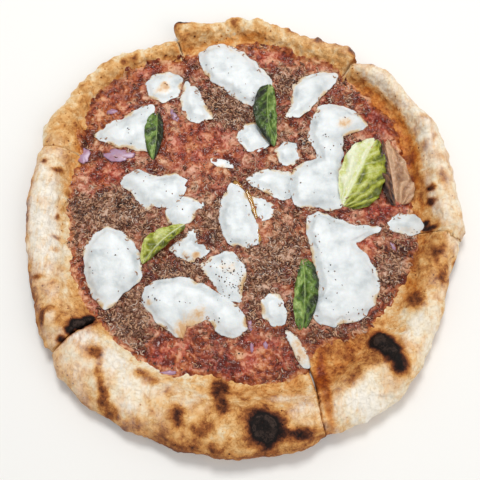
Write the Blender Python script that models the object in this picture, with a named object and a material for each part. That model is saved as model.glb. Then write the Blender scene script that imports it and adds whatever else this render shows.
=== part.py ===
"""A margherita pizza, baked with a puffed rim and cut in six slices that still lie together.

Each slice, each piece of mozzarella and each basil leaf is one closed solid. Metres, +Z up; the
origin is on the table under the middle of the pizza, and the eater sits on the -Y side. Bearings
are degrees about the middle of the pizza, anticlockwise from +X.
"""

import math

import bmesh
import bpy
from mathutils import Vector
from mathutils.bvhtree import BVHTree

MM = 0.001

# --- dough ---
RIM_RADIUS = 151.0 * MM  # mean distance from the middle to the outside of the rim
RIM_WIDTH = 31.0 * MM  # mean width of the rim, from the sauce to the outside
RIM_HEIGHT = 19.0 * MM
BASE_THICKNESS = 4.0 * MM  # the flat middle under the toppings
BULGE_SHARE = 0.42  # height of the rim's widest line, as a share of its height
CROWN_SHARE = 0.44  # distance of the rim's crest from the outside, as a share of its width
UNDERCUT_SHARE = 0.30  # how far the rim curls up from the table, as a share of its width

# Where the rim leaves its mean shape as it puffed up in the oven: bearing, half spread in degrees,
# then what is added to radius, width and height, in millimetres.
RIM_SWELLS = (
    (5, 10, -3, 0, 1),  # right
    (40, 20, 2, -12, -2),  # rear right, a narrow stretch
    (68, 14, -4, -9, -4),  # rear
    (92, 12, 5, -12, -5),
    (122, 22, 3, -16, -7),  # rear left, the lowest and narrowest stretch
    (140, 14, 5, -8, -2),
    (183, 18, -1, 0, 1),  # left
    (228, 18, 6, 9, 2),  # front left
    (256, 18, 9, 16, 4),  # front, the broadest stretch
    (280, 14, 7, 11, 3),
    (306, 14, 4, 9, 2),
    (338, 14, -6, 0, 0),
)
# Single bubbles in the rim, with the same five values.
RIM_BUBBLES = (
    (354, 4, 3, 2, 4),
    (330, 4, 1, 0, 2),
    (312, 4, 0, 0, 3),
    (268, 5, 1, 0, 3),
    (241, 5, 1, 0, -3),
    (211, 3.5, 2, 0, 3),
    (176, 6, 1, 0, 1),
    (151, 4, 2, 0, 1),
    (114, 5, -3, -2, 0),
    (106, 3.5, 3, 0, 4),
    (97, 3, -1, 0, -1),
    (86, 3, 1, 0, 2),
    (61, 4, 2, 0, 2),
    (47, 4, 2, 2, 2),
    (27, 5, 1, 0, 1),
)

# --- the three cuts, which cross behind the middle ---
CROSSING = (-8 * MM, 27 * MM)
# Bearing where each cut leaves the rim, sideways bow at mid length, opening at the rim.
CUTS = (
    (56.0, 0 * MM, 3.0 * MM),
    (110.0, 0 * MM, 1.5 * MM),
    (160.5, 0 * MM, 1.0 * MM),
    (218.0, 4 * MM, 3.0 * MM),
    (288.0, 0 * MM, 4.0 * MM),
    (352.0, 0 * MM, 1.5 * MM),
)
KERF = 0.8 * MM  # gap between two slices near the crossing
# How far the slice after each cut was pulled out of the round, and how far its rim was stretched.
SLIDES = (2.0 * MM, 0, 0, 0, 0, 0)
STRETCHES = (3.0 * MM, 0, 0, 0, 0, 0)
END_ROUNDING = 4.0 * MM  # length over which the rim rounds off at a cut
END_DIP = 0.10  # how much lower the rim is at a cut, as a share of its height
END_PULL_IN = 2.0 * MM  # how much closer to the middle the rim's outside is at a cut
END_SECTIONS = (0.0, 2.5 * MM, 6.0 * MM)  # distances from a cut of the sections nearest to it
COLUMN_STEP = 7.0 * MM  # spacing of the sections along the rim
# Steps of a section: from the outside to the crest, from there to the sauce, and over the middle.
OUTER_STEPS = 5
INNER_STEPS = 5
MIDDLE_STEPS = 3
SHARP_EDGE = 50.0  # degrees between two faces from which their shared edge stays sharp

# --- toppings ---
LAY_GAP = 0.3 * MM  # room for the thin sauce that the cheese lies in
# A piece of cheese from its underside up: how far in from its outline and how high each ring lies,
# as shares of the thickness. No ring goes in further than the last share of the room there is.
CHEESE_RINGS = ((0.5, 0.0), (0.0, 0.35), (0.5, 0.8), (1.8, 1.0))
INSET_LIMIT = 0.75
CHEESE_STEP = 9.0 * MM  # spacing of the points along a piece's outline
# Pieces of mozzarella: name, thickness, then the points that its outline passes through, in
# millimetres from the middle of the pizza.
CHEESES = (
    ("rear", 3.4, ((-35, 134), (-25, 140), (-10, 140), (8, 126), (20, 108), (5, 88), (-16, 103),
                   (-30, 115))),
    ("rear_right", 2.6, ((36, 105), (50, 113), (69, 113), (67, 103), (54, 91), (40, 78), (31, 79),
                         (34, 92))),
    ("right_upper", 3.2, ((54, 87), (72, 88), (90, 72), (72, 62), (69, 42), (67, 8), (52, 7),
                          (36, 13), (35, 36), (52, 45), (46, 60), (48, 76))),
    ("tongue", 2.2, ((31, 15), (20, 18), (4, 24), (0, 28), (7, 34), (17, 37), (30, 35))),
    ("middle", 3.2, ((-9, 26), (0, 17), (8, -8), (9, -21), (-8, -22), (-17, -10), (-18, 6))),
    ("scrap", 1.6, ((4, 15), (13, 14), (20, 8), (18, -1), (11, -3), (6, 6))),
    ("blistered", 2.4, ((-75, 106), (-69, 115), (-57, 117), (-47, 111), (-50, 96), (-61, 91),
                        (-72, 96))),
    ("wedge", 2.6, ((-44, 109), (-36, 102), (-24, 77), (-34, 74), (-43, 77), (-47, 94))),
    ("left_upper", 2.6, ((-110, 64), (-100, 73), (-81, 84), (-68, 88), (-65, 68), (-66, 50),
                         (-88, 54), (-106, 58))),
    ("left", 3.0, ((-90, 26), (-86, 33), (-75, 35), (-61, 31), (-50, 34), (-41, 28), (-43, 18),
                   (-57, 7), (-68, 5), (-78, 16))),
    ("left_thin", 1.8, ((-55, 4), (-43, 12), (-29, 9), (-40, -5), (-47, -8), (-54, -4))),
    ("front_left", 3.4, ((-105, -13), (-95, -7), (-79, -17), (-70, -35), (-73, -49), (-84, -57),
                         (-93, -68), (-102, -58), (-110, -38), (-109, -24))),
    ("pointed", 2.0, ((-53, -24), (-42, -16), (-36, -8), (-32, -18), (-24, -25), (-36, -34),
                      (-45, -30))),
    ("peppered", 2.6, ((-31, -37), (-23, -29), (-8, -26), (-2, -36), (-5, -46), (-4, -55),
                       (-15, -54), (-24, -46))),
    ("front", 3.4, ((-69, -52), (-57, -46), (-38, -45), (-22, -53), (-6, -64), (1, -80), (-9, -87),
                    (-20, -80), (-26, -71), (-38, -69), (-46, -81), (-58, -76), (-68, -64))),
    ("small_front", 2.4, ((10, -61), (16, -55), (23, -56), (28, -77), (18, -78), (11, -73))),
    ("right", 3.6, ((43, -1), (57, 1), (72, -5), (94, -9), (79, -20), (88, -38), (89, -55),
                    (76, -72), (58, -78), (44, -71), (48, -46), (44, -28))),
    ("far_right", 2.2, ((98, -4), (106, 2), (115, 1), (117, -9), (110, -13), (102, -10))),
    ("under_leaf", 2.4, ((-6, 61), (0, 73), (8, 74), (17, 57), (10, 49), (1, 51))),
    ("knob", 2.4, ((21, 51), (28, 58), (36, 56), (39, 46), (34, 39), (26, 40))),
    ("sliver", 1.4, ((-29, 43), (-21, 46), (-12, 43), (-8, 36), (-18, 38))),
    ("strip", 1.6, ((25, -82), (30, -81), (36, -90), (41, -102), (36, -101), (29, -93))),
)

# Basil leaves: name, stem end, tip (millimetres), width, arch of the midrib, fold up of each half.
LEAVES = (
    ("left", (-64, 82), (-63, 44), 17, 2.0, 25),
    ("rear", (18, 105), (20, 53), 19, 2.5, 30),
    ("right", (68, 4), (93, 56), 32, 3.5, 18),
    ("browned", (106, 8), (105, 58), 15, 2.0, 20),
    ("middle", (-41, -6), (-70, -35), 18, 2.5, 28),
    ("front", (39, -30), (37, -82), 19, 3.0, 22),
)
LEAF_THICKNESS = 0.7 * MM
LEAF_GAP = 0.8 * MM  # a leaf touches what it lies on at few points
LEAF_ROWS = 8  # steps from stem to tip
LEAF_COLUMNS = 4  # steps across the blade
LAY_TESTS = 24  # rows and columns of points at which a leaf is tested against what lies under it

# --- colours: base colour (linear) and roughness ---
BAKED_DOUGH = (0.78, 0.58, 0.34, 1.0), 0.75
MOZZARELLA = (0.86, 0.88, 0.86, 1.0), 0.35
BASIL = (0.10, 0.22, 0.03, 1.0), 0.45
BROWNED_BASIL = (0.30, 0.20, 0.09, 1.0), 0.6


def clear_scene():
    for thing in list(bpy.data.objects):
        bpy.data.objects.remove(thing, do_unlink=True)


def make_material(name, finish):
    colour, roughness = finish
    material = bpy.data.materials.new(name)
    material.use_nodes = True
    shader = material.node_tree.nodes["Principled BSDF"]
    shader.inputs["Base Color"].default_value = colour
    shader.inputs["Roughness"].default_value = roughness
    shader.inputs["Metallic"].default_value = 0.0
    return material


def add_object(name, form, material):
    """Closes the bmesh into a named object, its round sides shaded smooth."""
    bmesh.ops.recalc_face_normals(form, faces=form.faces)
    mesh = bpy.data.meshes.new(name)
    form.to_mesh(mesh)
    form.free()
    mesh.materials.append(material)
    mesh.shade_smooth()
    mesh.set_sharp_from_angle(angle=math.radians(SHARP_EDGE))
    thing = bpy.data.objects.new(name, mesh)
    bpy.context.scene.collection.objects.link(thing)
    return thing


# --- the rim's form, from its bearing about the middle ---
def swell(bearing, column):
    """Sum of what the swells and bubbles add at a bearing: column 2 radius, 3 width, 4 height."""
    total = 0.0
    for bump in RIM_SWELLS + RIM_BUBBLES:
        away = (bearing - bump[0] + 180.0) % 360.0 - 180.0
        total += bump[column] * MM * math.exp(-((away / bump[1]) ** 2))
    return total


def rim_radius(bearing):
    return RIM_RADIUS + swell(bearing, 2)


def rim_width(bearing):
    return RIM_WIDTH + swell(bearing, 3)


def rim_height(bearing):
    return RIM_HEIGHT + swell(bearing, 4)


def rim_section(bearing, rounding):
    """Section through the rim as (distance in from the outside, top z, underside z), outside first."""
    width = rim_width(bearing)
    crest = rim_height(bearing) * rounding
    bulge = BULGE_SHARE * crest
    crown = CROWN_SHARE * width
    undercut = UNDERCUT_SHARE * width
    section = []
    for step in range(OUTER_STEPS + 1):
        turn = math.radians(90.0 * step / OUTER_STEPS)
        inward = crown * (1.0 - math.cos(turn))
        top = bulge + (crest - bulge) * math.sin(turn)
        curl = max(0.0, 1.0 - inward / undercut)
        section.append((inward, top, bulge * (1.0 - math.sqrt(1.0 - curl * curl))))
    for step in range(1, INNER_STEPS + 1):
        share = step / INNER_STEPS
        fall = 0.5 + 0.5 * math.cos(math.pi * share)
        top = BASE_THICKNESS + (crest - BASE_THICKNESS) * fall
        section.append((crown + (width - crown) * share, top, 0.0))
    return section


# --- slices ---
def section_places(start, end):
    """Bearings of a slice's sections: close together at its two cuts, where the rim rounds off."""
    span = math.radians(end - start) * RIM_RADIUS
    middle = span - 2 * END_SECTIONS[-1]
    count = round(middle / COLUMN_STEP)
    along = list(END_SECTIONS) + [END_SECTIONS[-1] + middle * k / count for k in range(1, count)]
    along += [span - d for d in reversed(END_SECTIONS)]
    return [(start + math.degrees(d / RIM_RADIUS), min(d, span - d)) for d in along]


def slice_form(number):
    """One slice as a closed solid: a fan of sections from the crossing of the cuts out to the rim."""
    first, second = CUTS[number], CUTS[(number + 1) % len(CUTS)]
    start = first[0] + math.degrees(first[2] / 2 / RIM_RADIUS)
    end = second[0] + (360.0 if second[0] < first[0] else 0.0) - math.degrees(second[2] / 2 / RIM_RADIUS)
    crossing = Vector(CROSSING)
    outsides = []
    for bearing, from_cut in section_places(start, end):
        nearness = math.exp(-((from_cut / END_ROUNDING) ** 2))
        rounding = 1.0 - END_DIP * nearness
        reach = rim_radius(bearing) + STRETCHES[number] - END_PULL_IN * nearness
        turn = math.radians(bearing)
        outsides.append((bearing, rounding, Vector((math.cos(turn), math.sin(turn))) * reach))
    arms = [(outsides[0][2] - crossing).normalized(), (outsides[-1][2] - crossing).normalized()]
    middle = (arms[0] + arms[1]).normalized()
    half_angle = arms[0].angle(arms[1]) / 2
    moved = middle * (KERF / 2 / math.sin(half_angle) + SLIDES[number])

    form = bmesh.new()
    tops, undersides = [], []
    for place, (bearing, rounding, outside) in enumerate(outsides):
        share = place / (len(outsides) - 1)
        inward_way = crossing - outside
        length = inward_way.length
        inward_way.normalize()
        sideways = Vector((inward_way.y, -inward_way.x))
        bow = first[1] * (1.0 - share) + second[1] * share
        section = rim_section(bearing, rounding)
        foot = section[-1][0]
        for step in range(1, MIDDLE_STEPS):
            section.append((foot + (length - foot) * step / MIDDLE_STEPS, BASE_THICKNESS, 0.0))
        top_row, under_row = [], []
        for inward, top, under in section:
            along = inward / length
            at = outside + inward_way * inward + sideways * bow * 4 * along * (1.0 - along) + moved
            top_row.append(form.verts.new((at.x, at.y, top)))
            same = inward == 0.0
            under_row.append(top_row[0] if same else form.verts.new((at.x, at.y, under)))
        tops.append(top_row)
        undersides.append(under_row)
    tip = crossing + moved
    tip_top = form.verts.new((tip.x, tip.y, BASE_THICKNESS))
    tip_under = form.verts.new((tip.x, tip.y, 0.0))
    for row in tops:
        row.append(tip_top)
    for row in undersides:
        row.append(tip_under)

    flat = next(k for k, station in enumerate(rim_section(start, 1.0)) if station[2] == 0.0)
    count = len(tops[0])
    for left, right in zip(tops, tops[1:]):
        for k in range(count - 2):
            form.faces.new((left[k], right[k], right[k + 1], left[k + 1]))
        form.faces.new((left[-2], right[-2], tip_top))
    for left, right in zip(undersides, undersides[1:]):
        for k in range(flat):
            form.faces.new((left[k], left[k + 1], right[k + 1], right[k]))
    # the flat underside is one face: along the curl, then in along both cuts to the tip
    outline = [row[flat] for row in undersides]
    outline += undersides[-1][flat + 1:-1] + [tip_under] + undersides[0][-2:flat:-1]
    form.faces.new(outline)
    for top_row, under_row in ((tops[0], undersides[0]), (tops[-1], undersides[-1])):
        form.faces.new((top_row[0], top_row[1], under_row[1]))
        for k in range(1, count - 1):
            form.faces.new((top_row[k], top_row[k + 1], under_row[k + 1], under_row[k]))
    return form


# --- mozzarella ---
def smooth_outline(points, spacing):
    """A closed, evenly divided curve through the points, each span a Catmull-Rom piece."""
    corners = [Vector(p) * MM for p in points]
    count = len(corners)
    curve = []
    for k in range(count):
        a, b, c, d = (corners[(k + shift) % count] for shift in (-1, 0, 1, 2))
        pieces = max(1, round((c - b).length / spacing))
        for step in range(pieces):
            t = step / pieces
            curve.append(0.5 * ((2 * b) + (c - a) * t + (2 * a - 5 * b + 4 * c - d) * t * t
                                + (3 * b - a - 3 * c + d) * t * t * t))
    return curve


def inward_room(rounds):
    """For each point of an outline its inward direction, and the radius of the round that fits there."""
    count = len(rounds)
    room = []
    for k, p in enumerate(rounds):
        along = rounds[(k + 1) % count] - rounds[k - 1]
        inward = Vector((-along.y, along.x)).normalized()
        radius = RIM_RADIUS
        for other in rounds:
            ahead = (other - p).dot(inward)
            if ahead > 0.0:
                radius = min(radius, (other - p).length_squared / (2 * ahead))
        room.append((inward, radius))
    return room


def cheese_form(thickness, points):
    """A soft flat-bottomed pool of melted cheese with a round edge."""
    rounds = smooth_outline(points, CHEESE_STEP)
    area = sum(a.cross(b) for a, b in zip(rounds, rounds[1:] + rounds[:1]))
    if area < 0.0:
        rounds.reverse()
    room = inward_room(rounds)
    floor = BASE_THICKNESS + LAY_GAP
    form = bmesh.new()
    rows = []
    for inset, rise in CHEESE_RINGS:
        row = []
        for p, (inward, radius) in zip(rounds, room):
            at = p + inward * min(inset * thickness * MM, INSET_LIMIT * radius)
            row.append(form.verts.new((at.x, at.y, floor + rise * thickness * MM)))
        rows.append(row)
    count = len(rounds)
    for low, high in zip(rows, rows[1:]):
        for k in range(count):
            form.faces.new((low[k], low[(k + 1) % count], high[(k + 1) % count], high[k]))
    form.faces.new(reversed(rows[0]))
    form.faces.new(rows[-1])
    return form


# --- basil ---
def leaf_half_width(share, width):
    """Half the blade's width at a share of its length: widest before the middle, pointed at the tip."""
    return 0.5 * width * math.sin(math.pi * share ** 0.85) ** 0.8


def leaf_form(stem, tip, width, arch, fold, under):
    """A thin blade, arched along its midrib and folded up either side of it, laid on what is under it."""
    start, end = Vector(stem) * MM, Vector(tip) * MM
    way = end - start
    across = Vector((-way.y, way.x)).normalized()
    rise = math.sin(math.radians(fold))

    def blade_point(share, side):
        out = leaf_half_width(share, width * MM) * side
        return start + way * share + across * out, arch * MM * math.sin(math.pi * share) + abs(out) * rise

    # the height at which no part of the blade is inside what it lies on
    tests = [blade_point(row / LAY_TESTS, 2 * column / LAY_TESTS - 1)
             for row in range(LAY_TESTS + 1) for column in range(LAY_TESTS + 1)]
    rest = max(surface_height(under, at) - lift for at, lift in tests)
    form = bmesh.new()

    def layer(offset):
        """One face of the blade: its rows of vertices, then the vertices at its two ends."""
        def vertex(share, side):
            at, lift = blade_point(share, side)
            return form.verts.new((at.x, at.y, rest + lift + offset))
        rows = [[vertex(row / LEAF_ROWS, 2 * column / LEAF_COLUMNS - 1) for column in range(LEAF_COLUMNS + 1)]
                for row in range(1, LEAF_ROWS)]
        return rows, (vertex(0.0, 0.0), vertex(1.0, 0.0))

    rims = []
    for offset in (LEAF_GAP, LEAF_GAP + LEAF_THICKNESS):
        rows, (stem_end, tip_end) = layer(offset)
        for near, far in zip(rows, rows[1:]):
            for k in range(LEAF_COLUMNS):
                form.faces.new((near[k], near[k + 1], far[k + 1], far[k]))
        for k in range(LEAF_COLUMNS):
            form.faces.new((stem_end, rows[0][k + 1], rows[0][k]))
            form.faces.new((tip_end, rows[-1][k], rows[-1][k + 1]))
        rims.append([stem_end] + [row[0] for row in rows] + [tip_end] + [row[-1] for row in reversed(rows)])
    low, high = rims
    for k in range(len(low)):
        after = (k + 1) % len(low)
        form.faces.new((low[k], low[after], high[after], high[k]))
    return form


def surface_height(trees, at):
    """Top of the highest thing under a point, or of the base where there is none."""
    height = BASE_THICKNESS
    for tree in trees:
        hit = tree.ray_cast(Vector((at.x, at.y, 1.0)), Vector((0, 0, -1)))[0]
        if hit:
            height = max(height, hit.z)
    return height


def centre_on_origin():
    """Moves every piece so that the whole stands centred on the origin."""
    pieces = [thing for thing in bpy.data.objects if thing.type == "MESH"]
    spots = [v.co for thing in pieces for v in thing.data.vertices]
    middle = Vector((0.0, 0.0, 0.0))
    for axis in (0, 1):
        along = [spot[axis] for spot in spots]
        middle[axis] = (min(along) + max(along)) / 2
    for thing in pieces:
        for vertex in thing.data.vertices:
            vertex.co -= middle


def main():
    clear_scene()
    dough = make_material("baked_dough", BAKED_DOUGH)
    for number in range(len(CUTS)):
        add_object(f"slice_{number + 1}", slice_form(number), dough)

    mozzarella = make_material("mozzarella", MOZZARELLA)
    laid = []
    for name, thickness, points in CHEESES:
        form = cheese_form(thickness, points)
        laid.append(BVHTree.FromBMesh(form))
        add_object(f"mozzarella_{name}", form, mozzarella)

    basil = make_material("basil", BASIL)
    browned = make_material("browned_basil", BROWNED_BASIL)
    for name, stem, tip, width, arch, fold in LEAVES:
        form = leaf_form(stem, tip, width, arch, fold, laid)
        laid.append(BVHTree.FromBMesh(form))
        add_object(f"basil_{name}", form, browned if name == "browned" else basil)
    centre_on_origin()


main()
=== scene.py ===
"""A margherita pizza: baked slices, tomato sauce, grated cheese, melted mozzarella, basil and oil.

Lengths are metres unless a name or a comment says millimetres. Bearings are degrees about the middle
of the pizza, anticlockwise from the right; the eater sits in front, on the -Y side.
"""

import math

import bmesh
import bpy
import numpy as np
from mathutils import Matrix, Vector
from mathutils.bvhtree import BVHTree
from mathutils.kdtree import KDTree


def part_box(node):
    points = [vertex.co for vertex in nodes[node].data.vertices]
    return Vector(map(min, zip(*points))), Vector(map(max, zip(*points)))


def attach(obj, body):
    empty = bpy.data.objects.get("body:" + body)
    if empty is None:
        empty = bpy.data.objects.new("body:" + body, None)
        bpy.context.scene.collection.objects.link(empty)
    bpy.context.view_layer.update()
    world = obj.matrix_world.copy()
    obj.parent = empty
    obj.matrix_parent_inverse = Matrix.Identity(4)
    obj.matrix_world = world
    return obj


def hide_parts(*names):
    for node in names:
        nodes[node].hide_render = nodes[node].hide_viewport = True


MM = 0.001
BASE_TOP = 4.0 * MM  # top of the flat dough under the toppings

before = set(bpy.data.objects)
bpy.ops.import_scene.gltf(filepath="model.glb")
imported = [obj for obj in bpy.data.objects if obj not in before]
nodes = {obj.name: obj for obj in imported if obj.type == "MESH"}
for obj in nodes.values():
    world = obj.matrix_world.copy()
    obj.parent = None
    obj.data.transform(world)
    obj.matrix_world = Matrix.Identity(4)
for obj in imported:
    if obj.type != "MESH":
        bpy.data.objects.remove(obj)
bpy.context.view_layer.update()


# --- colours ---
def paint(hex_colour, alpha=1.0):
    """A colour picked as sRGB hex, as the linear values that a shader takes."""
    parts = (int(hex_colour[k:k + 2], 16) / 255 for k in (1, 3, 5))
    return (*(c / 12.92 if c <= 0.04045 else ((c + 0.055) / 1.055) ** 2.4 for c in parts), alpha)


# --- noise ---
def soft_noise(at, grain, seed):
    """Smooth lumps about one grain across, from roughly -1 to 1, at points (n, 3)."""
    rng = np.random.default_rng(seed)
    slopes = rng.normal(size=(256, 3))
    slopes /= np.linalg.norm(slopes, axis=1, keepdims=True)
    order = rng.permutation(256)
    place = np.asarray(at) / grain
    cell = np.floor(place).astype(int)
    part = place - cell
    fade = part ** 3 * (part * (part * 6 - 15) + 10)
    total = np.zeros(len(place))
    for corner in np.ndindex(2, 2, 2):
        c = cell + corner
        pick = order[(order[(order[c[:, 0] % 256] + c[:, 1]) % 256] + c[:, 2]) % 256]
        weight = np.prod(np.where(corner, fade, 1 - fade), axis=1)
        total += weight * (slopes[pick] * (part - corner)).sum(axis=1)
    return total * 1.7


def layered_noise(at, grain, seed, layers=3):
    return sum(soft_noise(at, grain / 2 ** k, seed + k) / 2 ** k for k in range(layers))


def ease(value, low, high):
    """0 below low, 1 above high, smooth between."""
    t = np.clip((value - low) / (high - low), 0, 1)
    return t * t * (3 - 2 * t)


def patches(x, y, places, edge=1.0):
    """Sum over patches of (x, y, reach across, reach away, strength), in millimetres; a higher edge is crisper."""
    total = np.zeros(len(x))
    for px, py, across, away, strength in places:
        total += strength * np.exp(-(((x / MM - px) / across) ** 2 + ((y / MM - py) / away) ** 2) ** edge)
    return total


# --- mesh tools ---
def spots_of(mesh):
    values = np.empty(len(mesh.vertices) * 3, np.float32)
    mesh.vertices.foreach_get("co", values)
    return values.reshape(-1, 3).astype(float)


def move_spots(mesh, spots):
    mesh.vertices.foreach_set("co", np.asarray(spots, np.float32).ravel())
    mesh.update()


def normals_of(mesh):
    values = np.empty(len(mesh.vertices) * 3, np.float32)
    mesh.vertex_normals.foreach_get("vector", values)
    return values.reshape(-1, 3).astype(float)


def set_amount(mesh, name, values):
    layer = mesh.attributes.get(name) or mesh.attributes.new(name, "FLOAT", "POINT")
    layer.data.foreach_set("value", np.asarray(values, np.float32))


def merged_copy(node):
    """The solid of a named node, its loose triangles joined up again."""
    form = bmesh.new()
    form.from_mesh(nodes[node].data)
    bmesh.ops.remove_doubles(form, verts=form.verts, dist=0.01 * MM)
    mesh = bpy.data.meshes.new(node)
    form.to_mesh(mesh)
    form.free()
    mesh.materials.clear()
    return mesh


def worked(mesh, *steps):
    """The mesh after modifiers, each given as (type, settings), as a plain mesh."""
    thing = bpy.data.objects.new("work", mesh)
    bpy.context.scene.collection.objects.link(thing)
    for kind, settings in steps:
        modifier = thing.modifiers.new(kind, kind)
        for key, value in settings.items():
            setattr(modifier, key, value)
    graph = bpy.context.evaluated_depsgraph_get()
    result = bpy.data.meshes.new_from_object(thing.evaluated_get(graph))
    bpy.data.objects.remove(thing)
    return result


def fine_skin(node, voxel, rounding):
    """A node's solid as an even, dense skin, its hard edges rounded off."""
    return worked(
        merged_copy(node),
        ("SUBSURF", dict(subdivision_type="SIMPLE", levels=2, render_levels=2)),
        ("REMESH", dict(mode="VOXEL", voxel_size=voxel)),
        ("SMOOTH", dict(factor=0.5, iterations=rounding)),
    )


def tree_of(meshes):
    """One search tree over several meshes."""
    corners, faces = [], []
    for mesh in meshes:
        start = len(corners)
        corners += [tuple(v.co) for v in mesh.vertices]
        faces += [[start + k for k in face.vertices] for face in mesh.polygons]
    return BVHTree.FromPolygons(corners, faces)


def joined_copy(meshes):
    """Several meshes as one, with their amounts."""
    form = bmesh.new()
    for mesh in meshes:
        form.from_mesh(mesh)
    joined = bpy.data.meshes.new("joined")
    form.to_mesh(joined)
    form.free()
    return joined


def mesh_from(name, spots, faces):
    mesh = bpy.data.meshes.new(name)
    mesh.from_pydata([tuple(p) for p in spots], [], [tuple(int(k) for k in f) for f in faces])
    mesh.validate()
    mesh.update()
    return mesh


def finished(name, mesh, material, replaced=None):
    """Puts a piece in the scene, on the pizza, with its finish."""
    mesh.materials.clear()
    mesh.materials.append(material)
    mesh.shade_smooth()
    piece = bpy.data.objects.new(name, mesh)
    bpy.context.scene.collection.objects.link(piece)
    if replaced:
        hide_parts(replaced)
    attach(piece, "root")
    return piece


# --- materials ---
def add_node(tree, kind, inputs=None, stops=None, **settings):
    """Adds a node with its settings; inputs holds a value or the socket that feeds each input."""
    made = tree.nodes.new(kind)
    for key, value in settings.items():
        setattr(made, key, value)
    for key, value in (inputs or {}).items():
        if isinstance(value, bpy.types.NodeSocket):
            tree.links.new(value, made.inputs[key])
        else:
            made.inputs[key].default_value = value
    if stops:
        ramp = made.color_ramp
        while len(ramp.elements) < len(stops):
            ramp.elements.new(0.5)
        for element, (place, colour) in zip(ramp.elements, stops):
            element.position = place
            element.color = paint(colour)
    return made


def per(grain_mm):
    """Noise scale at which one lump is so many millimetres across."""
    return 1.0 / (grain_mm * MM)


def start_material(name):
    material = bpy.data.materials.new(name)
    material.use_nodes = True
    tree = material.node_tree
    where = add_node(tree, "ShaderNodeTexCoord").outputs["Object"]
    return material, tree, tree.nodes["Principled BSDF"], where


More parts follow.
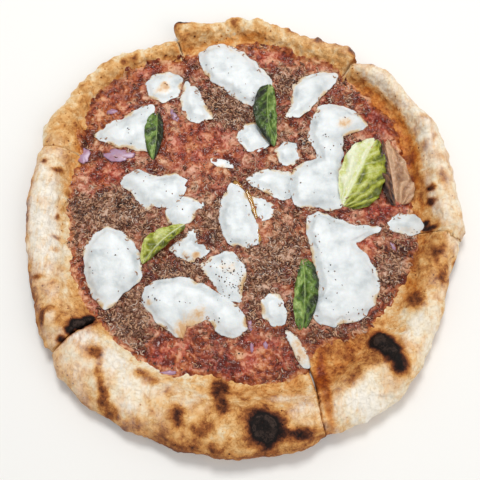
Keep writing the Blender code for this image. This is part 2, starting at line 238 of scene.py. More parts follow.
def dough_material():
    """Wheat dough baked on a floured stone floor: dry flour dust, then cream, gold, brown and char."""
    material, tree, shader, where = start_material("baked_dough")
    bake, flour, stain, dots = (add_node(tree, "ShaderNodeAttribute", attribute_name=name).outputs["Fac"]
                                for name in ("bake", "flour", "stain", "dots"))
    mottle = add_node(tree, "ShaderNodeTexNoise", {"Vector": where, "Scale": per(9.0), "Detail": 4.0,
                                                   "Roughness": 0.6, "Distortion": 0.4}).outputs["Fac"]
    grain = add_node(tree, "ShaderNodeTexNoise", {"Vector": where, "Scale": per(2.2), "Detail": 3.0,
                                                  "Roughness": 0.6, "Distortion": 0.6}).outputs["Fac"]
    # fine wrinkles where the skin shrank as it dried
    creases = add_node(tree, "ShaderNodeTexNoise", {"Vector": where, "Scale": per(4.5), "Detail": 3.0,
                                                    "Roughness": 0.55, "Distortion": 1.2}).outputs["Fac"]
    creases = add_node(tree, "ShaderNodeMath", {0: creases, 1: 0.5}, operation="SUBTRACT").outputs[0]
    creases = add_node(tree, "ShaderNodeMath", {0: creases}, operation="ABSOLUTE").outputs[0]
    creases = add_node(tree, "ShaderNodeMapRange", {0: creases, 1: 0.0, 2: 0.03, 3: 0.1, 4: 0.0}).outputs[0]
    # burnt dots, a few to the square centimetre
    cells = add_node(tree, "ShaderNodeTexVoronoi", {"Vector": where, "Scale": per(3.6), "Randomness": 1.0})
    pick = add_node(tree, "ShaderNodeSeparateColor", {"Color": cells.outputs["Color"]}).outputs
    chosen = add_node(tree, "ShaderNodeMath", {0: pick[0], 1: dots}, operation="LESS_THAN").outputs[0]
    size = add_node(tree, "ShaderNodeMapRange", {0: pick[1], 1: 0.0, 2: 1.0, 3: 0.08, 4: 0.26}).outputs[0]
    dot = add_node(tree, "ShaderNodeMath", {0: size, 1: cells.outputs["Distance"]}, operation="SUBTRACT").outputs[0]
    dot = add_node(tree, "ShaderNodeMapRange", {0: dot, 1: 0.0, 2: 0.14, 3: 0.0, 4: 0.36}).outputs[0]
    dot = add_node(tree, "ShaderNodeMath", {0: dot, 1: chosen}, operation="MULTIPLY").outputs[0]
    calm = add_node(tree, "ShaderNodeMapRange", {0: bake, 1: 0.55, 2: 0.95, 3: 1.0, 4: 1.1}).outputs[0]
    uneven = add_node(tree, "ShaderNodeMath", {0: mottle, 1: 0.7, 2: -0.35}, operation="MULTIPLY_ADD").outputs[0]
    grainy = add_node(tree, "ShaderNodeMath", {0: grain, 1: 0.3, 2: -0.15}, operation="MULTIPLY_ADD").outputs[0]
    varied = add_node(tree, "ShaderNodeMath", {0: uneven, 1: grainy}, operation="ADD").outputs[0]
    varied = add_node(tree, "ShaderNodeMath", {0: varied, 1: creases}, operation="ADD").outputs[0]
    varied = add_node(tree, "ShaderNodeMath", {0: varied, 1: calm, 2: bake}, operation="MULTIPLY_ADD").outputs[0]
    baked = add_node(tree, "ShaderNodeMath", {0: varied, 1: dot}, operation="ADD").outputs[0]
    baked = add_node(tree, "ShaderNodeMath", {0: baked, 1: 0.75}, operation="MULTIPLY").outputs[0]
    crust = add_node(tree, "ShaderNodeValToRGB", {"Fac": baked}, stops=(
        (0.0, "#F3EAD8"), (0.13, "#EDD9B4"), (0.25, "#E4B67A"), (0.35, "#CD9150"), (0.46, "#9A5A2C"),
        (0.57, "#5A2D19"), (0.68, "#25110C"), (0.78, "#0A0605"), (0.86, "#160D0A"),
        (0.93, "#3E302A"), (1.0, "#1E1512"))).outputs["Color"]
    streaks = add_node(tree, "ShaderNodeMapping", {"Vector": where, "Scale": (1.0, 0.3, 0.45)}).outputs[0]
    dust = add_node(tree, "ShaderNodeTexNoise", {"Vector": streaks, "Scale": per(2.4), "Detail": 4.0,
                                                 "Roughness": 0.65}).outputs["Fac"]
    dusty = add_node(tree, "ShaderNodeMath", {0: dust, 1: 3.4, 2: -0.75}, operation="MULTIPLY_ADD").outputs[0]
    dusty = add_node(tree, "ShaderNodeMath", {0: flour, 1: dusty}, operation="MULTIPLY").outputs[0]
    dusty = add_node(tree, "ShaderNodeClamp", {"Value": dusty, "Max": 0.9}).outputs[0]
    floured = add_node(tree, "ShaderNodeMix", {0: dusty, 6: crust, 7: paint("#F5EFE4")},
                       data_type="RGBA").outputs[2]
    wet = add_node(tree, "ShaderNodeMath", {0: grainy, 1: 1.2, 2: stain}, operation="MULTIPLY_ADD").outputs[0]
    oiled = add_node(tree, "ShaderNodeValToRGB", {"Fac": wet}, stops=(
        (0.1, "#FFFFFF"), (0.4, "#F5D3A0"), (0.7, "#E0AA6C"), (1.0, "#BE7846"))).outputs["Color"]
    soaked = add_node(tree, "ShaderNodeMix", {0: 1.0, 6: floured, 7: oiled}, data_type="RGBA",
                      blend_type="MULTIPLY").outputs[2]
    tree.links.new(soaked, shader.inputs["Base Color"])
    rough = add_node(tree, "ShaderNodeMapRange", {0: wet, 1: 0.1, 2: 0.8, 3: 0.75, 4: 0.3}).outputs[0]
    tree.links.new(rough, shader.inputs["Roughness"])
    shader.inputs["Specular IOR Level"].default_value = 0.22
    bump = add_node(tree, "ShaderNodeBump", {"Height": grain, "Strength": 0.7, "Distance": 0.7 * MM}).outputs[0]
    bump = add_node(tree, "ShaderNodeBump", {"Height": creases, "Strength": 0.7, "Distance": 3.0 * MM,
                                             "Normal": bump}, invert=True).outputs[0]
    bump = add_node(tree, "ShaderNodeBump", {"Height": mottle, "Strength": 0.6, "Distance": 1.6 * MM,
                                             "Normal": bump}).outputs[0]
    tree.links.new(bump, shader.inputs["Normal"])
    return material


def sauce_material():
    """Crushed tomato dried a little in the oven under a film of oil: pulp, pale fibres, wet sheen."""
    material, tree, shader, where = start_material("tomato_sauce")
    crumb, amber, shade = (add_node(tree, "ShaderNodeAttribute", attribute_name=name).outputs["Fac"]
                           for name in ("crumb", "amber", "shade"))
    pulp = add_node(tree, "ShaderNodeTexNoise", {"Vector": where, "Scale": per(9.0), "Detail": 4.0,
                                                 "Roughness": 0.58, "Distortion": 0.5}).outputs["Fac"]
    grit = add_node(tree, "ShaderNodeTexNoise", {"Vector": where, "Scale": per(3.4), "Detail": 2.0,
                                                 "Roughness": 0.5, "Distortion": 0.5}).outputs["Fac"]
    drift = add_node(tree, "ShaderNodeTexNoise", {"Vector": where, "Scale": per(14.0), "Detail": 3.0,
                                                  "Roughness": 0.6}).outputs["Fac"]
    mixed = add_node(tree, "ShaderNodeMath", {0: pulp, 1: 3.0, 2: -1.72}, operation="MULTIPLY_ADD").outputs[0]
    mixed = add_node(tree, "ShaderNodeMath", {0: grit, 1: 1.4, 2: mixed}, operation="MULTIPLY_ADD").outputs[0]
    red = add_node(tree, "ShaderNodeValToRGB", {"Fac": mixed}, stops=(
        (0.05, "#5E160C"), (0.3, "#86291A"), (0.5, "#9E3B28"), (0.7, "#B6543D"), (0.95, "#D79078"))).outputs["Color"]
    orange = add_node(tree, "ShaderNodeValToRGB", {"Fac": mixed}, stops=(
        (0.05, "#74301A"), (0.32, "#A4542A"), (0.55, "#C0743C"), (0.95, "#E0B080"))).outputs["Color"]
    brown = add_node(tree, "ShaderNodeValToRGB", {"Fac": mixed}, stops=(
        (0.05, "#2C160D"), (0.3, "#5A3322"), (0.52, "#80523A"), (0.74, "#A57A60"), (0.95, "#D0B09A"))).outputs["Color"]
    warm = add_node(tree, "ShaderNodeMapRange", {0: drift, 1: 0.4, 2: 0.68, 3: 0.0, 4: 0.75}).outputs[0]
    warm = add_node(tree, "ShaderNodeMath", {0: warm, 1: amber}, operation="MAXIMUM").outputs[0]
    tomato = add_node(tree, "ShaderNodeMix", {0: warm, 6: red, 7: orange}, data_type="RGBA").outputs[2]
    both = add_node(tree, "ShaderNodeMix", {0: crumb, 6: tomato, 7: brown}, data_type="RGBA").outputs[2]
    # painted shade: multiplies the sauce darker beside the mozzarella and over the gaps between slices, and in darker
    # patches
    dark = add_node(tree, "ShaderNodeMix", {0: shade, 6: both, 7: paint("#9A6A48")}, data_type="RGBA",
                    blend_type="MULTIPLY").outputs[2]
    tree.links.new(dark, shader.inputs["Base Color"])
    shader.inputs["Specular IOR Level"].default_value = 0.35
    rough = add_node(tree, "ShaderNodeMapRange", {0: pulp, 1: 0.35, 2: 0.65, 3: 0.1, 4: 0.4}).outputs[0]
    tree.links.new(rough, shader.inputs["Roughness"])
    bump = add_node(tree, "ShaderNodeBump", {"Height": grit, "Strength": 1.0, "Distance": 1.6 * MM}).outputs[0]
    bump = add_node(tree, "ShaderNodeBump", {"Height": pulp, "Strength": 0.8, "Distance": 2.2 * MM,
                                             "Normal": bump}).outputs[0]
    tree.links.new(bump, shader.inputs["Normal"])
    return material


def mozzarella_material():
    """Fresh milk cheese melted and set again: white, soft to the light, cream where it runs thin."""
    material, tree, shader, where = start_material("mozzarella")
    cream, toast = (add_node(tree, "ShaderNodeAttribute", attribute_name=name).outputs["Fac"]
                    for name in ("cream", "toast"))
    cloud = add_node(tree, "ShaderNodeTexNoise", {"Vector": where, "Scale": per(11.0), "Detail": 4.0,
                                                  "Roughness": 0.55}).outputs["Fac"]
    grain = add_node(tree, "ShaderNodeTexNoise", {"Vector": where, "Scale": per(1.6), "Detail": 4.0,
                                                  "Roughness": 0.65}).outputs["Fac"]
    milk = add_node(tree, "ShaderNodeValToRGB", {"Fac": cloud}, stops=(
        (0.32, "#BFC6C9"), (0.46, "#D5DBDD"), (0.6, "#E0E5E7"))).outputs["Color"]
    spread = add_node(tree, "ShaderNodeMath", {0: grain, 1: 0.7, 2: -0.35}, operation="MULTIPLY_ADD").outputs[0]
    thin = add_node(tree, "ShaderNodeMath", {0: cream, 1: spread}, operation="ADD").outputs[0]
    rind = add_node(tree, "ShaderNodeValToRGB", {"Fac": thin}, stops=(
        (0.25, "#E4E0D6"), (0.55, "#D8CBB4"), (0.85, "#C4A070"), (1.0, "#AC7A48"))).outputs["Color"]
    amount = add_node(tree, "ShaderNodeMapRange", {0: thin, 1: 0.2, 2: 0.6, 3: 0.0, 4: 1.0}).outputs[0]
    edge = add_node(tree, "ShaderNodeMix", {0: amount, 6: milk, 7: rind}, data_type="RGBA").outputs[2]
    toasted = add_node(tree, "ShaderNodeMath", {0: spread, 1: 0.5, 2: toast}, operation="MULTIPLY_ADD").outputs[0]
    browned = add_node(tree, "ShaderNodeValToRGB", {"Fac": toasted}, stops=(
        (0.15, "#E2D6C4"), (0.35, "#D9B88E"), (0.6, "#C18F5C"), (0.85, "#8C5836"), (1.0, "#4A2C1C"))).outputs["Color"]
    amount = add_node(tree, "ShaderNodeMapRange", {0: toasted, 1: 0.14, 2: 0.42, 3: 0.0, 4: 1.0}).outputs[0]
    top = add_node(tree, "ShaderNodeMix", {0: amount, 6: edge, 7: browned}, data_type="RGBA").outputs[2]
    tree.links.new(top, shader.inputs["Base Color"])
    shader.inputs["Roughness"].default_value = 0.4
    shader.inputs["Subsurface Weight"].default_value = 0.2
    shader.inputs["Subsurface Radius"].default_value = (1.0, 0.75, 0.55)
    shader.inputs["Subsurface Scale"].default_value = 1.2 * MM
    bump = add_node(tree, "ShaderNodeBump", {"Height": grain, "Strength": 0.25, "Distance": 0.4 * MM}).outputs[0]
    bump = add_node(tree, "ShaderNodeBump", {"Height": cloud, "Strength": 0.25, "Distance": 1.2 * MM,
                                             "Normal": bump}).outputs[0]
    tree.links.new(bump, shader.inputs["Normal"])
    return material


def basil_material(name, shades):
    """Fresh leaf wilted in the oven and oiled: waxy sheen, pale veins, painted shade in the hollows of its folds."""
    material, tree, shader, where = start_material(name)
    vein, tone = (add_node(tree, "ShaderNodeAttribute", attribute_name=name).outputs["Fac"]
                  for name in ("vein", "tone"))
    blot = add_node(tree, "ShaderNodeTexNoise", {"Vector": where, "Scale": per(2.5), "Detail": 5.0,
                                                 "Roughness": 0.7, "Distortion": 0.5}).outputs["Fac"]
    amount = add_node(tree, "ShaderNodeMath", {0: blot, 1: 0.9, 2: -0.45}, operation="MULTIPLY_ADD").outputs[0]
    amount = add_node(tree, "ShaderNodeMath", {0: tone, 1: amount}, operation="ADD").outputs[0]
    places = (0.0, 0.35, 0.65, 1.0)
    green = add_node(tree, "ShaderNodeValToRGB", {"Fac": amount}, stops=tuple(zip(places, shades))).outputs["Color"]
    veined = add_node(tree, "ShaderNodeMix", {0: vein, 6: green, 7: paint(shades[-1])}, data_type="RGBA").outputs[2]
    tree.links.new(veined, shader.inputs["Base Color"])
    shader.inputs["Roughness"].default_value = 0.28
    shader.inputs["Subsurface Weight"].default_value = 0.08
    shader.inputs["Subsurface Scale"].default_value = 0.5 * MM
    bump = add_node(tree, "ShaderNodeBump", {"Height": blot, "Strength": 0.7, "Distance": 0.7 * MM}).outputs[0]
    tree.links.new(bump, shader.inputs["Normal"])
    return material


def bit_material(name, dark, light, grain_mm, roughness):
    """Small dry bits, each a little lighter or darker than the next."""
    material, tree, shader, where = start_material(name)
    tint = add_node(tree, "ShaderNodeTexNoise", {"Vector": where, "Scale": per(grain_mm), "Detail": 3.0,
                                                 "Roughness": 0.6}).outputs["Fac"]
    colour = add_node(tree, "ShaderNodeValToRGB", {"Fac": tint}, stops=((0.35, dark), (0.65, light))).outputs["Color"]
    tree.links.new(colour, shader.inputs["Base Color"])
    shader.inputs["Roughness"].default_value = roughness
    return material


def oil_material(name, thin, thick, clear, smooth):
    """Olive oil standing in a pool: liquid smooth, clear at its rim and coloured where it is deeper."""
    material, tree, shader, where = start_material(name)
    depth = add_node(tree, "ShaderNodeTexNoise", {"Vector": where, "Scale": per(3.0), "Detail": 3.0,
                                                  "Roughness": 0.5}).outputs["Fac"]
    colour = add_node(tree, "ShaderNodeValToRGB", {"Fac": depth}, stops=((0.35, thin), (0.65, thick))).outputs["Color"]
    tree.links.new(colour, shader.inputs["Base Color"])
    shader.inputs["Roughness"].default_value = smooth
    shader.inputs["IOR"].default_value = 1.47
    shader.inputs["Transmission Weight"].default_value = clear
    return material


# --- the rim, as the slices have it ---
def rim_lines():
    """Every third bearing with the distance of the rim's outside, and of the foot of its inner slope."""
    spots = np.concatenate([spots_of(nodes[f"slice_{n}"].data) for n in range(1, 7)])
    bearing = np.degrees(np.arctan2(spots[:, 1], spots[:, 0])) % 360
    reach = np.hypot(spots[:, 0], spots[:, 1])
    flat = np.abs(spots[:, 2] - BASE_TOP) < 0.02 * MM
    steps = np.arange(0, 360, 3.0)
    outside, foot = [], []
    for step in steps:
        near = np.abs((bearing - step + 180) % 360 - 180) < 2.6
        outside.append(reach[near].max())
        foot.append(reach[near & flat & (reach < 0.93 * outside[-1])].max())
    return steps, np.array(outside), np.array(foot)


STEPS, OUTSIDE, FOOT = rim_lines()


def rim_place(x, y):
    """Bearing, distance, and share of the way in from the rim's outside (0) to its foot (1)."""
    bearing = np.degrees(np.arctan2(y, x)) % 360
    reach = np.hypot(x, y)
    outside = np.interp(bearing, STEPS, OUTSIDE, period=360)
    foot = np.interp(bearing, STEPS, FOOT, period=360)
    return bearing, reach, (outside - reach) / (outside - foot), foot


def around(bearing, values):
    """A value that changes with bearing, from (bearing, value) pairs."""
    return np.interp(bearing, [v[0] for v in values], [v[1] for v in values], period=360)


def swollen(bearing, swells):
    """Sum of swells along the rim, from (bearing, half spread, amount), each fading out to both sides."""
    return sum(amount * np.exp(-(((bearing - middle + 180) % 360 - 180) / half) ** 2)
               for middle, half, amount in swells)


# Scorched spots: x, y, reach across, reach away (millimetres), depth of the browning (1 is black).
SCORCHES = (
    (11, -144, 9, 9, 0.85), (4, -136, 5, 5, 0.25), (13, -144, 14, 11, 0.3), (30, -148, 9, 4, 0.28),
    (87, -90, 7, 7, 0.9), (92, -96, 6, 6, 0.42), (93.5, -102.5, 6.5, 9, 0.48), (95.5, -109, 4, 4, 0.22),
    (92, -98, 10, 13, 0.05),
    (-17, -119, 6, 8, 0.4), (-14.5, -131, 5.5, 6, 0.28), (-26, -144, 7, 5, 0.25), (-41, -137, 3.8, 6.5, 0.42), (-25, -140, 5, 4, 0.12), (37, -147, 10, 4, 0.3),
    (51, -131, 3.6, 6, 0.1),
    (-48, -122, 4.5, 4, 0.22), (-95, -96, 7, 5, 0.34), (-92, -102, 3, 5, 0.24),
    (-91, -109, 3, 5, 0.24), (-89.5, -116, 3, 5, 0.26), (-88, -125, 3.8, 7, 0.42), (-83, -134, 4.5, 5, 0.26), (-130, -76, 2.4, 6, 0.3), (-126, -70, 5, 2.4, 0.22), (-66, -110, 6, 3.5, 0.3), (-60, -115, 5, 3.6, 0.34),
    (-101, -74.5, 4, 3.5, 0.8), (-107, -79, 4.5, 3.4, 0.95), (-112, -84, 4, 2.6, 0.7), (-117, -89, 3.6, 2.4, 0.6), (-120, -78, 4, 5, 0.14),
    (110, -62, 6, 7, 0.36), (130, -44, 5, 7, 0.3), (143, -37.5, 3.6, 5, 0.9),
    (127, 71, 6, 3.4, 0.2), (133, 56, 3.4, 5, 0.14), (127, 50, 5, 4, 0.16), (137, 24, 4, 6, 0.22), (-140, 36, 3, 2.4, 0.36),
    (-131, 30, 3, 2.4, 0.36), (-123, 16, 3, 2.4, 0.36), (-128, -4, 1.8, 2.4, 0.36), (-128, -18.5, 2.8, 2, 0.4),
    (-127, -28, 1.8, 1.8, 0.3), (-136, -48, 4, 2.4, 0.3), (83, 121, 4, 4, 0.3), (129, 18, 2.8, 2.6, 0.5),
    (128, 7.5, 3.2, 3.2, 0.5), (124, -6, 2.6, 2.6, 0.44), (125.5, -11.5, 3.2, 3.2, 0.5), (-48, 155, 6, 3, 0.5),
    (-90, 122, 4, 3, 0.3),
)
# Raised blisters: x, y, reach (millimetres), height (millimetres).
BLISTERS = (
    (88, -90, 8, 2.8), (94, -104, 7, 2.6), (-122, -78, 7, 3.0), (139, -15, 9, 1.5), (10, -138, 11, 1.4),
    (-16, -124, 7, 1.4), (108, -64, 8, 1.4), (-90, -108, 7, 1.2), (62, -128, 12, 1.5), (130, 66, 8, 1.2),
    (43, -114, 3, 1.2), (44.5, -122, 3, 1.6), (46.5, -130, 3, 1.8), (48.5, -138, 3, 1.4), (-64, -104, 9, 1.3),
    (-108, -92, 7, 1.5), (74, -108, 8, 1.2), (118, -78, 7, 1.2), (134, 30, 8, 1.2), (-30, -134, 8, 1.0),
)
# Knobs of dough on the outline at the back: x, y, reach, height (millimetres), browning of the tip.
KNOBS = (
    (-49, 153, 4, 2.0, 0.34), (-30, 151, 4, 0.8, 0.1), (-8, 157, 5, 2.2, 0.42), (9, 157, 3, 1.6, 0.15),
    (22, 153, 4, 0.9, 0.1), (34, 149, 4.5, 2.0, 0.3), (45, 143, 3, 1.0, 0.1), (55, 140, 4, 2.2, 0.36),
    (67, 134, 3, 1.2, 0.15), (79, 130, 5, 2.2, 0.4), (-82, 124, 4, 1.4, 0.3), (-100, 121, 4, 1.0, 0.2),
    (-118, 98, 4, 1.0, 0.2), (96, 118, 4, 1.4, 0.2), (-66, 141, 4, 1.0, 0.1),
)
# The rim by bearing: how baked it is outside, on the crest and on the inner slope; how floured in the same
# three places; and how far sauce and oil have soaked the inner slope.
RIM = (
    (0, 0.24, 0.25, 0.38, 0.35, 0.38, 0.0, 0.3), (12, 0.26, 0.3, 0.52, 0.35, 0.3, 0.0, 0.5),
    (24, 0.24, 0.22, 0.48, 0.4, 0.5, 0.0, 0.6), (36, 0.26, 0.26, 0.5, 0.4, 0.4, 0.0, 0.6),
    (48, 0.26, 0.22, 0.42, 0.4, 0.5, 0.0, 0.5), (60, 0.4, 0.38, 0.38, 0.15, 0.1, 0.0, 0.35),
    (72, 0.33, 0.38, 0.38, 0.1, 0.05, 0.0, 0.35), (84, 0.22, 0.25, 0.3, 0.0, 0.0, 0.0, 0.4),
    (96, 0.24, 0.25, 0.3, 0.0, 0.0, 0.0, 0.35), (108, 0.42, 0.31, 0.42, 0.0, 0.0, 0.0, 0.4),
    (120, 0.26, 0.33, 0.37, 0.0, 0.0, 0.0, 0.4), (132, 0.24, 0.29, 0.37, 0.0, 0.0, 0.0, 0.4),
    (144, 0.26, 0.29, 0.36, 0.0, 0.0, 0.0, 0.5), (156, 0.18, 0.4, 0.46, 0.05, 0.0, 0.0, 0.7),
    (168, 0.38, 0.28, 0.32, 0.3, 0.45, 0.05, 0.4), (180, 0.54, 0.22, 0.29, 0.12, 0.85, 0.25, 0.12),
    (192, 0.4, 0.2, 0.17, 0.25, 0.75, 0.45, 0.06), (204, 0.6, 0.44, 0.34, 0.0, 0.15, 0.1, 0.06),
    (216, 0.4, 0.3, 0.52, 0.25, 0.4, 0.0, 0.05), (228, 0.34, 0.32, 0.15, 0.2, 0.25, 0.5, 0.05),
    (240, 0.46, 0.2, 0.18, 0.1, 0.3, 0.5, 0.05), (252, 0.6, 0.42, 0.24, 0.0, 0.05, 0.25, 0.12),
    (264, 0.56, 0.36, 0.42, 0.0, 0.0, 0.0, 0.2), (276, 0.46, 0.38, 0.38, 0.0, 0.0, 0.0, 0.25),
    (288, 0.48, 0.3, 0.36, 0.0, 0.15, 0.1, 0.3), (300, 0.03, 0.03, 0.52, 0.6, 0.6, 0.0, 0.3),
    (312, 0.24, 0.4, 0.48, 0.08, 0.05, 0.0, 0.3), (324, 0.12, 0.12, 0.22, 0.4, 0.5, 0.0, 0.3),
    (336, 0.42, 0.4, 0.4, 0.12, 0.1, 0.0, 0.3), (348, 0.24, 0.38, 0.58, 0.25, 0.1, 0.0, 0.35),
    (355, 0.26, 0.27, 0.42, 0.3, 0.35, 0.0, 0.3),
)
# Share of the way in at which the crest gives way to the inner slope, by bearing.
BROW = ((0, 0.68), (12, 0.74), (24, 0.82), (36, 0.78), (48, 0.76), (60, 0.5), (150, 0.5), (165, 0.62), (180, 0.64),
        (192, 0.68), (204, 0.56), (216, 0.34), (228, 0.5), (300, 0.5), (324, 0.6),
        (336, 0.55), (348, 0.36))
# Where the dough spread beyond its cut shape, or drew back from it: bearing, half spread in degrees, then how
# far, in millimetres.
SPREADS = (
    (345, 16, -2),  # right
    (34, 7, -2),  # rear right, a shallow dent
    (54, 4, -3),  # the corner at the rear cut
    (102, 3, -2.5),  # a nick beside the rear knobs
    (128, 14, 4),  # rear left
    (157, 7, 5),  # behind the left cut
    (226, 14, 5),  # front left
    (304, 8, 2),  # front right
)
# Extra flour: x, y, reaches (millimetres), strength.
DUSTINGS = (
    (-9, -115, 9, 2.6, 0.8), (9, -119, 8, 3, 0.7), (22, -125, 7, 3.5, 0.6), (36, -133, 8, 5, 0.5),
    (-104, -88, 9, 7, 0.6), (-78, -96, 12, 8, 0.5), (-74, -122, 6, 10, 0.3), (70, -128, 14, 8, 0.4),
)
# Small burnt dots, how dense by bearing.
DOTTED = ((0, 0.5), (40, 0.3), (60, 0.4), (80, 0.6), (120, 0.6), (150, 0.55), (170, 0.4), (200, 0.3), (230, 0.15),
          (280, 0.3), (310, 0.15), (340, 0.5))
# The cuts: bearing as seen from where they cross, and how far each has closed again at its foot and crest.
CROSSING = (-8, 27)
CUTS = ((56, 0.95, 0.55), (110, 0.95, 0.6), (160.5, 0.98, 0.94), (218, 0.95, 0.6), (288, 0.99, 0.93),
        (352, 0.98, 0.9))


def close_up(spots, rough_cut, neighbours):
    """Leans the cut walls towards the next slice, as soft dough does, and tells how far each place is from a cut."""
    walls = [p for p in rough_cut.polygons if abs(p.normal.z) < 0.01]
    own = BVHTree.FromPolygons([tuple(v.co) for v in rough_cut.vertices], [list(p.vertices) for p in walls])
    found = [own.find_nearest(Vector(p)) for p in spots]
    from_cut = np.array([f[3] for f in found])
    bearing = np.degrees(np.arctan2(spots[:, 1] - CROSSING[1] * MM, spots[:, 0] - CROSSING[0] * MM)) % 360
    off = np.abs((bearing[:, None] - [cut[0] for cut in CUTS] + 180) % 360 - 180)
    low, high = np.array([cut[1:] for cut in CUTS])[off.argmin(axis=1)].T
    closing = low + (high - low) * ease(spots[:, 2], 1 * MM, 12 * MM)
    for k in np.flatnonzero(from_cut < 5 * MM):
        place, normal = found[k][0], found[k][1]
        gap = neighbours.ray_cast(place + normal * 1e-5, normal, 9 * MM)[3]
        if gap:
            push = 0.5 * gap * closing[k] * (1 - ease(from_cut[k], 0.5 * MM, 5 * MM))
            spots[k] += np.array(normal) * push
    return from_cut


